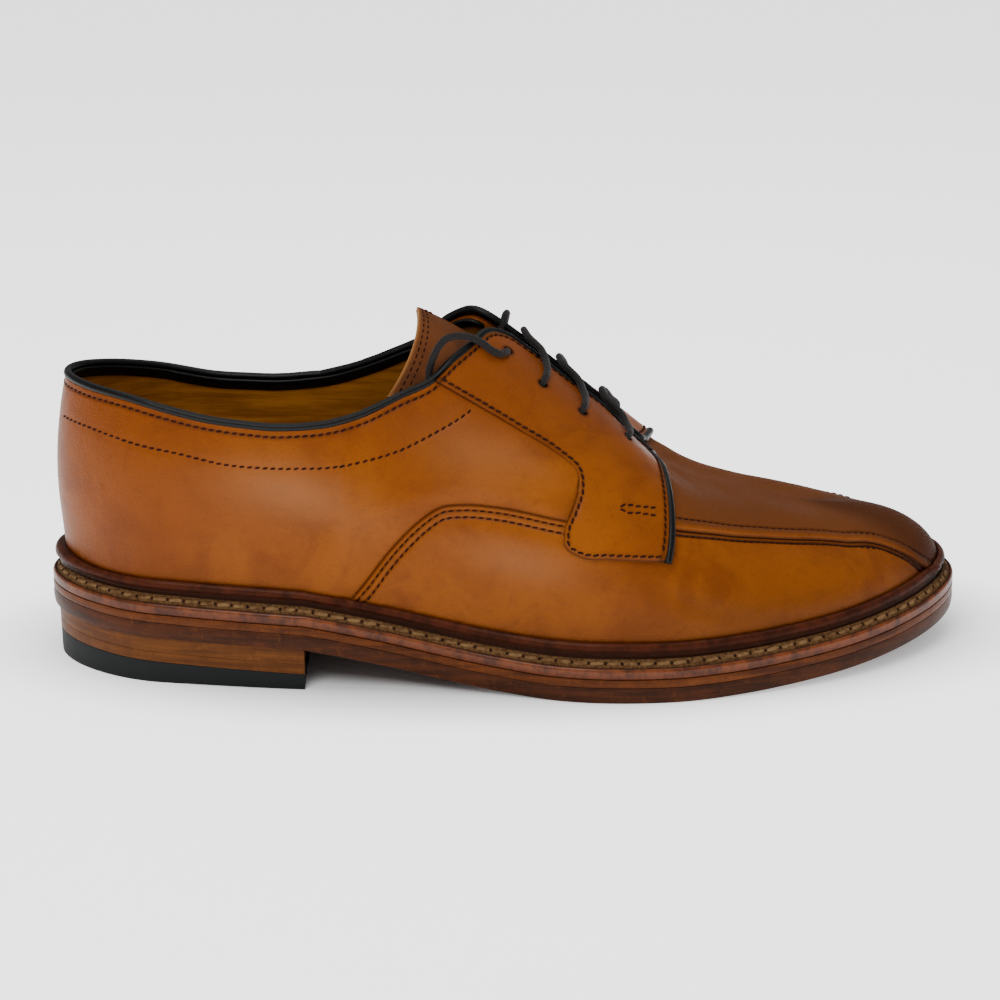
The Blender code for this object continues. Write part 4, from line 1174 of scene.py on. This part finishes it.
def binding_path(side):
    """The bead's path on one side: from the heel's back round the collar and down the tab's edges."""
    away = BEAD_RADIUS * 0.8 * -side
    first = TAB_OUTER["station"][0]
    t = t_of(station_of(np.linspace(0, float(t_of(first)), 160)[:-1]))
    collar, collar_normal = beside(t, u_of(side, top_edge(side, t)), BEAD_ON_COLLAR, away)
    patch = tab_patch(side, 161, 61)
    edge = np.concatenate([patch[0], patch[1:, -1], patch[-1, -2::-1]])
    t, u = t_of(edge[:, 0]), u_of(side, edge[:, 1])
    share = ramp(run_of(edge) / 0.05 - 1)
    on_tab_edge = tab_rest(t, edge[:, 1]) + FACING / 2
    tab, tab_normal = beside(t, u, BEAD_ON_COLLAR + (on_tab_edge - BEAD_ON_COLLAR) * share, away)
    return np.concatenate([collar, tab]), np.concatenate([collar_normal, tab_normal])


def make_binding(finish):
    """One round bead round the collar and down the front edges of both tabs, on one smooth path."""
    lateral, lateral_normal = binding_path(LATERAL)
    medial, medial_normal = binding_path(MEDIAL)
    path = np.concatenate([lateral[::-1], medial[1:]])
    normal = np.concatenate([lateral_normal[::-1], medial_normal[1:]])
    both = spline(np.concatenate([path, normal], 1)[::6], BEAD_POINTS)
    path, normal = both[:, :3], unit(both[:, 3:])
    points, faces = tube(path, normal, circle(BEAD_RADIUS, BEAD_SIDES))
    add_piece("topline_bead", points, faces, [finish], "binding", ["topline_binding"],
              uv=tube_uv(path, BEAD_SIDES))


def make_fold(finish):
    """The binding's inner fold: a thin strip along the collar's inside, from both sides of the heel."""
    t = np.linspace(0, float(t_of(TAB_TOP)), 160)
    drop = np.linspace(-0.2, 1, 7)[None, :]
    index = [None, None]
    points_out, points_in = [], []
    for k, side in enumerate(SIDES):
        w = top_edge(side, t)[:, None] - drop * FOLD_WIDTH / girth(side, t)[:, None]
        line = np.broadcast_to(t[:, None], w.shape)
        lined = lining_relief(side, line) - UPPER_WALL
        under = lined - FOLD_THICK * np.sqrt(np.clip(1 - drop ** 6, 0, 1))
        points_out.append(skin(line, u_of(side, w), under).reshape(-1, 3))
        points_in.append(skin(line, u_of(side, w), -UPPER_WALL + 0.1 * MM).reshape(-1, 3))
        index[k] = grid_index(*w.shape, k * w.size)
    index[1][0] = index[0][0]
    faces = np.concatenate([quads(index[0]), quads(index[1], True)])
    points, faces = wall(np.concatenate(points_out), np.concatenate(points_in), faces)
    add_piece("topline_fold", points, [faces], [finish], "binding")


# Stitches


def stitch_shape(sides=6):
    """One stitch along X from -1 to 1: rings of a bowed capsule, as (x, y, z) shares, and its faces."""
    x = np.array([-1, -0.82, -0.35, 0.35, 0.82, 1])
    size = np.array([0.35, 0.8, 1, 1, 0.8, 0.35])
    angle = np.linspace(0, 2 * np.pi, sides, endpoint=False)
    ring = np.stack([np.cos(angle), np.sin(angle)], -1)
    along_it = np.broadcast_to(x[:, None, None], (6, sides, 1))
    body = np.concatenate([along_it, ring[None] * size[:, None, None]], -1)
    index = grid_index(6, sides)
    loop = np.concatenate([index, index[:, :1]], 1)
    return body.reshape(-1, 3), quads(loop), np.stack([index[0][::-1], index[-1]])


def lay_stitches(lines, pitch, length, width, height, sink, slant=0.0):
    """Stitches along lines of (points, normals): each a capsule turned to the line's direction.

    A stitch's middle stands height over the surface less sink, and its ends dip in. slant
    turns each a little off its row.
    """
    body, sides, caps = stitch_shape()
    points, faces, ends = [], [], []
    start = 0
    for path, normal in lines:
        run = lengths(path)
        count = max(int(run[-1] / pitch), 1)
        place = (np.arange(count) + 0.5) * run[-1] / count
        half = length / 2 * (run[-1] / count / pitch)
        centre, up = pick(path, run, place), unit(pick(normal, run, place))
        ahead = unit(pick(path, run, place + 0.4 * half) - pick(path, run, place - 0.4 * half))
        side = unit(np.cross(up, ahead))
        ahead, side = unit(ahead + slant * side), unit(side - slant * ahead)
        bow = (1 - body[:, 0] ** 2) * 0.5 * height
        x = body[None, :, 0, None] * half * ahead[:, None]
        y = body[None, :, 1, None] * width / 2 * side[:, None]
        z = (body[:, 2] * height / 2 + bow - sink)[None, :, None] * up[:, None]
        points.append((centre[:, None] + x + y + z).reshape(-1, 3))
        base = start + np.arange(count)[:, None, None] * len(body)
        faces.append((sides[None] + base).reshape(-1, 4))
        ends.append((caps[None] + base).reshape(-1, caps.shape[1]))
        start += count * len(body)
    return np.concatenate(points), [np.concatenate(faces), np.concatenate(ends)]


def on_upper(side, t, w):
    """A line on the upper's leather."""
    u = u_of(side, w)
    return skin(t, u, relief(side, t, w)), unit(read(LAST_NORMAL, t, u))


def on_tab(side, t, w):
    """A line on a tab's leather."""
    u = u_of(side, w)
    return skin(t, u, tab_rest(t, w) + FACING), unit(read(LAST_NORMAL, t, u))


def fine(station, w, count=240):
    """A smooth line through (station, w) points, as t and w."""
    line = spline(np.stack([np.array(station, float) * STATION_PER_W, w], -1), count)
    return t_of(line[:, 0] / STATION_PER_W), line[:, 1]


def moved(side, t, w, distance):
    """A line moved up on its side by distance, square to itself."""
    t2, u2 = shift(t, u_of(side, w), distance if side == LATERAL else -distance)
    return t2, (u2 if side == LATERAL else 2 - u2)


def stitch_lines():
    """All brown rows: collar, topline, wing, toe panel, tab edges and the tack across the tab."""
    lines = []
    for side in SIDES:
        t, w = fine(COLLAR_STITCH["station"], COLLAR_STITCH["w"])
        start = 0.0 if side == LATERAL else 0.004
        lines.append(on_upper(side, np.maximum(t, start), w))
        t = np.linspace(0.0, float(t_of(0.425)), 300)
        lines.append(on_upper(side, t, top_edge(side, t) - TOPLINE_STITCH * MM / girth(side, t)))
        t, w = fine(WING_SEAM["station"][2:11], WING_SEAM["w"][2:11])
        for distance in (-1.55, -3.75):
            lines.append(on_upper(side, *moved(side, t, w, distance * MM)))
        t, w = fine([.655] + PANEL_SEAM["station"][4:12], [.422] + PANEL_SEAM["w"][4:12])
        for distance in (3.85, -1.75):
            lines.append(on_upper(side, *moved(side, t, w, distance * MM)))
        patch = tab_patch(side, 300, 120)
        t, w = t_of(patch[3:-3, 0, 0]), patch[3:-3, 0, 1]
        lines.append(on_tab(side, *moved(side, t, w, EDGE_STITCH)))
        edge = np.concatenate([patch[0, 5:], patch[1:, -1], patch[-1, -2:5:-1]])
        t, w = t_of(edge[:, 0]), edge[:, 1]
        lines.append(on_tab(side, *moved(side, t, w, -BOUND_STITCH)))
        t, w = fine(BAR_TACK["station"], BAR_TACK["w"], 60)
        lines.append(on_tab(side, t, w))
    return lines


def make_stitches(finish):
    """The upper's brown stitches, joined in one piece."""
    points, faces = lay_stitches(stitch_lines(), pitch=2.45 * MM, length=1.95 * MM, width=0.72 * MM,
                                 height=0.46 * MM, sink=0.10 * MM, slant=0.22)
    add_piece("upper_stitches", points, faces, [finish], "calf_leather")


def make_tongue_stitches(finish):
    """Two rows along the tongue's free end."""
    lines = []
    for inset in (2.2, 4.0):
        station = TONGUE_ROWS["station"][0] + inset * MM / SOLE_LENGTH
        share = np.linspace(-0.97, 0.97, 160)
        t = tongue_line(station, share)
        reach = column(TONGUE_ROWS, "half", station) * share
        path = skin(t, 1 + reach, -tongue_depth(station, share))
        lines.append((path, unit(read(LAST_NORMAL, t, 1 + reach))))
    points, faces = lay_stitches(lines, pitch=2.5 * MM, length=1.7 * MM, width=0.5 * MM,
                                 height=0.35 * MM, sink=0.12 * MM)
    add_piece("tongue_stitches", points, faces, [finish], "tongue_leather")


# The bottom

SOLE_LINES = (150, 190, 110)


def sole_lines():
    """t of the lines that all layers of the bottom share, with one at the heel's breast."""
    return foot_lines(SOLE_LINES, (0, HEEL_LENGTH / SOLE_LENGTH, TREAD_END, 1))


def layer(name, profile, base, finish, slot, node, end=None, full=np.ones_like):
    """A layer of the bottom: an edge profile of (inset, height) points carried round the outline.

    The two sides join across the top and the underside. end cuts it square at the heel's breast.
    full is the layer's thickness at x where the profile's heights are shares of it.
    """
    t = sole_lines()
    if end is not None:
        t = t[t <= end + 1e-9]
    grids = []
    for side in SIDES:
        columns = []
        for inset, height in profile:
            columns.append(on_edge(side, t, inset, lambda x: base(x) + height * full(x), end is not None))
        grids.append(np.stack(columns, 1))
    lateral = grid_index(len(t), len(profile))
    medial = lateral + lateral.size
    medial[0] = lateral[0]
    if end is None:
        medial[-1] = lateral[-1]
    faces = [quads(lateral), quads(medial, True), rim(lateral[:, -1], medial[:, -1]),
             rim(lateral[:, 0], medial[:, 0], True)]
    if end is not None:
        faces.append(rim(medial[-1], lateral[-1]))
    points = np.concatenate([g.reshape(-1, 3) for g in grids])
    add_piece(name, points, [np.concatenate(faces)], [finish], slot, [node], 42)


def rounded(height, low, high, belly=0.0, inset=0.0, count=7):
    """An edge profile between two heights: rounded corners of radii low and high, and a full belly."""
    angle = np.linspace(0, np.pi / 2, count)
    bottom = np.stack([inset + low * (1 - np.sin(angle)), low * (1 - np.cos(angle))], -1)
    top = np.stack([inset + high * (1 - np.cos(angle)), height - high * (1 - np.sin(angle))], -1)
    middle = np.linspace(0, 1, 7)[1:-1]
    side = np.stack([inset - belly * np.sin(np.pi * middle), low + (height - low - high) * middle], -1)
    deep = inset + 12 * MM
    return np.concatenate([[[deep, 0]], bottom, side, top, [[deep, height]]])


def make_bottom(outsole, midsole, lift, rubber):
    """Outsole, midsole, the two lifts and the rubber top piece, with rounded and grooved edges."""
    end = float(t_of(HEEL_LENGTH / SOLE_LENGTH))
    over = OUTSOLE + GAP
    layer("outsole_edge", rounded(OUTSOLE + 0.8 * GAP, 0.8 * MM, 0.2 * MM, 0.25 * MM), sole_rise, outsole,
          "sole_leather", "outsole")
    layer("midsole_edge", rounded(MIDSOLE - WELT_LOW + GAP, 0.15 * MM, 0.15 * MM, 0.15 * MM),
          lambda x: sole_rise(x) + over, midsole, "midsole_leather", "midsole")
    low = TOP_PIECE + GAP
    for name, height, level in (("lower", LIFT_LOWER, low), ("upper", LIFT_UPPER, low + LIFT_LOWER + GAP)):
        profile = rounded(height + 0.85 * GAP, 0.1 * MM, 0.1 * MM, 0.05 * MM, HEEL_INSET)
        layer("lift_%s_edge" % name, profile, heel_plane(level), lift, "heel_leather",
              "heel_lift_" + name, end)
    shares = rounded(1.0, 0.12, 0.04)
    reach = np.where(shares[:, 0] < 1, shares[:, 0] * TOP_PIECE, 12 * MM)
    profile = np.stack([HEEL_INSET + reach, shares[:, 1]], -1)
    layer("top_piece_rubber", profile, lambda x: 0 * x, rubber, "rubber", "heel_top_piece", end,
          full=heel_plane(TOP_PIECE + 0.85 * GAP))


# The welt's cross-section: points as (inset, height over its underside) from the rim up the stitched
# slope, and ridge points as (distance out from the upper, height over the feather line), in mm
WELT_LOW, WELT_INSIDE = 1.0 * MM, 8.6 * MM
WELT_FLAT = dict(
    inset=[7.6, 0.5, 0.15, 0.0, -0.05, 0.0, 0.2, 0.5, 0.8, 1.0, 1.2, 1.5, 2.1, 2.7, 3.2, 3.5, 3.8],
    height=[-0.9, -0.9, -0.8, -0.5, 0.6, 1.7, 2.3, 2.6, 2.6, 2.35, 2.45, 2.9, 3.6, 4.3, 4.85, 4.95, 4.7],
    strip=[0, 0, 0, 0, 0, 0, 0, 0, 0, 0, .5, 1, 1, 1, 1, .5, 0],
    rim=[0, 0, .2, .5, .7, 1, 1, 1, .6, 0, 0, 0, 0, 0, 0, 0, 0],
    # valley marks painted shade in the welt's recesses, here and on the ridge.
    valley_shade=[0, 0, .6, 0, 0, 0, 0, 0, 0, .9, .4, 0, 0, 0, 0, .5, 1],
)
WELT_RIDGE = dict(
    out=[2.2, 2.0, 2.2, 2.35, 2.25, 1.9, 1.35, 0.75, 0.25, -0.1, -0.15],
    height=[2.2, 3.3, 3.9, 4.6, 5.3, 5.95, 6.4, 6.5, 6.3, 5.6, 0.5],
    strip=[0, 0, 0, 0, 0, 0, 0, 0, 0, 0, 0],
    rim=[0, 0, 0, 0, 0, .15, .25, .2, 0, 0, 0],
    valley_shade=[1, .9, .6, .1, 0, 0, 0, 0, .3, .9, 1],
)
RIDGE_BACK, RIDGE_BACK_REACH, RIDGE_FULLER = 0.3, 0.035, 1.5 * MM


def make_welt(finish):
    """The storm welt: a ring of cross-sections, a stitched strip with a rounded rim and a leaning ridge."""
    t = sole_lines()
    rings = []
    for side in SIDES:
        columns = []
        for inset, height in zip(WELT_FLAT["inset"], WELT_FLAT["height"]):
            columns.append(on_edge(side, t, inset * MM, lambda x: welt_top(x) - WELT + height * MM))
        for out, height in zip(WELT_RIDGE["out"], WELT_RIDGE["height"]):
            behind = np.exp(-(station_of(t) / RIDGE_BACK_REACH) ** 2) * (height > 1)
            w = height * (1 + RIDGE_BACK * behind) * MM / girth(side, t)
            fuller = RIDGE_FULLER * behind * (out > 0.5)
            place = skin(t, u_of(side, w), relief(side, t, w) * (height > 4) + out * MM + fuller)
            if height < 1:
                place[:, 2] = welt_top(place[:, 0] + ORIGIN_X) - 0.1 * MM
            columns.append(place)
        for height in (WELT, -0.9 * MM):
            columns.append(on_edge(side, t, WELT_INSIDE, lambda x: welt_top(x) - WELT + height))
        rings.append(np.stack(columns, 1))
    ring = np.concatenate([rings[0], rings[1][-2:0:-1]])
    rows, columns = ring.shape[:2]
    index = grid_index(rows, columns)
    index = np.concatenate([index, index[:, :1]], 1)
    faces = quads(np.concatenate([index, index[:1]]), True)
    marks = {}
    for key in ("strip", "rim", "valley_shade"):
        values = np.array(WELT_FLAT[key] + WELT_RIDGE[key] + [0, 0], float)
        marks[key] = np.broadcast_to(values, (rows, columns)).ravel()
    add_piece("storm_welt_edge", ring.reshape(-1, 3), [faces], [finish], "welt_leather", ["storm_welt"], 60,
              marks=marks)


WELT_STITCH_INSET, WELT_STITCH_HEIGHT = 2.3 * MM, 3.85 * MM
WELT_SLOPE = math.radians(48)
WELT_PITCH = 5.3 * MM


def make_welt_stitches(thread, hole_shade):
    """Thick pale thread on the welt's slope, one stitch every pitch, and dark dots between them that paint
    the shade in the needle holes.
    """
    t = sole_lines()
    halves, outward = [], []
    for side in SIDES:
        _, _, nx, ny = outline(side, t)
        halves.append(on_edge(side, t, WELT_STITCH_INSET, lambda x: welt_top(x) - WELT + WELT_STITCH_HEIGHT))
        lean = math.sin(WELT_SLOPE)
        outward.append(np.stack([nx * lean, ny * lean, np.full(len(t), math.cos(WELT_SLOPE))], -1))
    path = np.concatenate([halves[0], halves[1][-2::-1]])
    normal = np.concatenate([outward[0], outward[1][-2::-1]])
    points, faces = lay_stitches([(path, normal)], WELT_PITCH, length=4.5 * MM, width=1.5 * MM,
                                 height=0.55 * MM, sink=0.22 * MM, slant=0.1)
    add_piece("welt_thread", points, faces, [thread], "welt_leather")
    # Dark dots between the stitches: painted shade where the needle holes are.
    run = lengths(path)
    share = np.linspace(WELT_PITCH / 2, run[-1] - WELT_PITCH / 2, 2000)
    path, normal = pick(path, run, share), pick(normal, run, share)
    points, faces = lay_stitches([(path, normal)], WELT_PITCH, length=0.9 * MM, width=1.1 * MM,
                                 height=0.3 * MM, sink=0.1 * MM)
    add_piece("welt_hole_shade", points, faces, [hole_shade], "welt_leather")


# Laces

LACE_SIDES = 14
CORD_RADIUS = 1.2 * MM
# How a crossing lies: along its way from the lateral eyelet, its lift over the tab in mm, and its lean
# towards the toe in station
CROSSING = dict(
    share=[0.0, 0.0, 0.06, 0.16, 0.34, 0.42, 0.58, 0.74, 0.80, 0.90, 1.0, 1.0],
    lift=[-4.5, -0.5, 2.0, 2.7, 3.3, 3.9, 3.5, 3.9, 3.9, 2.6, 1.0, -4.0],
    lean=[.000, .000, .004, .010, .015, .014, .005, -.004, -.006, -.004, .000, .000],
)


def lace_piece(name, path, finish, node):
    """A round cord along a path."""
    normal = np.broadcast_to([0.0, 0.25, 1.0], path.shape)
    points, faces = tube(path, normal, circle(CORD_RADIUS, LACE_SIDES))
    return add_piece(name, points, faces, [finish], "lace_cord", [node], uv=tube_uv(path, LACE_SIDES))


def make_bars(finish):
    """Crossings: out of a lateral eyelet, up over both beads and down into the medial eyelet."""
    share, lean = np.array(CROSSING["share"]), np.array(CROSSING["lean"])
    for row, station in list(enumerate(EYELETS["station"]))[1:]:
        near, far = eyelets(LATERAL)[1][row] - 1, 1 - eyelets(MEDIAL)[1][row]
        near_edge = slot_edge(LATERAL, t_of(station)) - 1
        far_edge = 1 - slot_edge(MEDIAL, t_of(station))
        reach = np.interp(share, [0, 0.42, 0.76, 1], [near, near_edge, far_edge, far])
        lift = np.array(CROSSING["lift"]) * MM + tab_rest(t_of(station), eyelets(LATERAL)[1][row]) - TAB_GAP
        route = skin(t_of(station + lean), 1 + reach, lift)
        lace_piece("lace_crossing_%d" % row, spline(route, 110), finish, "lace_bar_%d" % row)


def make_ends(finish):
    """The two free ends: out of the top eyelets and back down inside the shoe."""
    for name, route in (("lateral", LACE_END_LATERAL), ("medial", LACE_END_MEDIAL)):
        points = skin(t_of(route["station"]), 1 + np.array(route["reach"]), np.array(route["lift"]) * MM)
        path = spline(points, 120)
        piece = lace_piece("lace_tail_" + name, path, finish, "lace_end_" + name)


# Stage

CAMERA_TARGET = Vector((0.1088, 0.003, 0.0487))
CAMERA_DISTANCE = 0.70
CAMERA_AZIMUTH, CAMERA_ELEVATION = math.radians(-3.0), math.radians(17.5)
CAMERA_LENS = 73.9
WORLD_STRENGTH, FLOOR_GLOW = 0.4, 1.8


def make_camera():
    """A camera at the photograph's angle: almost square to the lateral side, a little above."""
    data = bpy.data.cameras.new("camera")
    data.lens = CAMERA_LENS
    data.sensor_width = 36
    camera = bpy.data.objects.new("camera", data)
    bpy.context.scene.collection.objects.link(camera)
    a, e = CAMERA_AZIMUTH, CAMERA_ELEVATION
    back = Vector((math.sin(a) * math.cos(e), -math.cos(a) * math.cos(e), math.sin(e)))
    camera.location = CAMERA_TARGET + back * CAMERA_DISTANCE
    camera.rotation_mode = "QUATERNION"
    camera.rotation_quaternion = (-back).to_track_quat("-Z", "Y")
    bpy.context.scene.camera = camera


def area_light(name, place, size, power):
    """A square soft light that faces the shoe."""
    data = bpy.data.lights.new(name, "AREA")
    data.size, data.energy = size, power
    light = bpy.data.objects.new(name, data)
    light.location = place
    light.rotation_mode = "QUATERNION"
    light.rotation_quaternion = (Vector(place) - CAMERA_TARGET).to_track_quat("Z", "Y")
    bpy.context.scene.collection.objects.link(light)


def make_stage():
    """A pale floor that glows, with its glow cut out under the shoe as a painted shadow, a pale surround and
    two soft lights.
    """
    look = Look("pale floor")
    speck = look.noise(40, 2, 0.5)
    parts = look.node("ShaderNodeSeparateXYZ", {}, Vector=look.place)
    along_it, across_it = Number(look, parts.outputs[0]), Number(look, parts.outputs[1])
    # Painted shadow: the floor's glow, which is painted light, fades out in an oval under the shoe.
    along_it, across_it = (along_it - 0.115) / 0.185, (across_it - 0.01) / 0.085
    away = along_it * along_it + across_it * across_it
    glow = look.blend(away.step(0.35, 1.25), rgb(0, 0, 0), rgb(255, 255, 255))
    floor_finish = look.finish(look.blend(speck, rgb(244, 244, 244), rgb(248, 248, 248)), 0.9,
                               Specular_IOR_Level=0.0, Emission_Color=glow,
                               Emission_Strength=FLOOR_GLOW)
    mesh = build_mesh("floor", np.array([[-6, -6, 0], [6, -6, 0], [6, 6, 0], [-6, 6, 0]], float),
                      [np.array([[0, 1, 2, 3]])])
    mesh.materials.append(floor_finish)
    floor = bpy.data.objects.new("floor", mesh)
    bpy.context.scene.collection.objects.link(floor)
    world = bpy.data.worlds.new("surround")
    world.use_nodes = True
    inputs = world.node_tree.nodes["Background"].inputs
    inputs["Color"].default_value = (1, 1, 1, 1)
    inputs["Strength"].default_value = WORLD_STRENGTH
    bpy.context.scene.world = world
    area_light("window", (-0.25, -0.75, 0.95), 0.55, 8)
    area_light("ceiling", (0.1, 0.2, 1.3), 1.2, 9)


def main():
    """Makes every piece."""
    make_camera()
    lace = lace_finish()
    make_ends(lace)
    make_bars(lace)
    calf, lining, black = calf_finish(), lining_finish(), binding_finish()
    make_upper(calf, lining)
    for side in SIDES:
        make_tab(side, calf)
    make_tongue(tongue_finish())
    make_binding(black)
    make_fold(black)
    brown = thread_finish("brown thread", rgb(50, 17, 6), rgb(26, 8, 4), 0.6)
    make_stitches(brown)
    make_tongue_stitches(brown)
    make_bottom(
        stained_finish("red brown edge", rgb(66, 30, 12), rgb(34, 14, 7), rgb(88, 46, 20), 0.4),
        stained_finish("orange brown edge", rgb(90, 44, 14), rgb(54, 22, 7), rgb(108, 58, 24), 0.36),
        stained_finish("stacked lifts", rgb(96, 54, 20), rgb(70, 36, 12), rgb(108, 66, 30), 0.44),
        rubber_finish(),
    )
    make_welt(welt_finish())
    make_welt_stitches(
        thread_finish("waxed pale thread", rgb(118, 90, 58), rgb(72, 46, 24), 0.6),
        # Dark brown for the dots that paint the needle holes' shade.
        thread_finish("needle hole shade", rgb(40, 22, 14), rgb(24, 12, 8), 0.8),
    )
    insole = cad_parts["insole"]
    insole.data.materials.clear()
    insole.data.materials.append(lining)
    make_stage()


main()
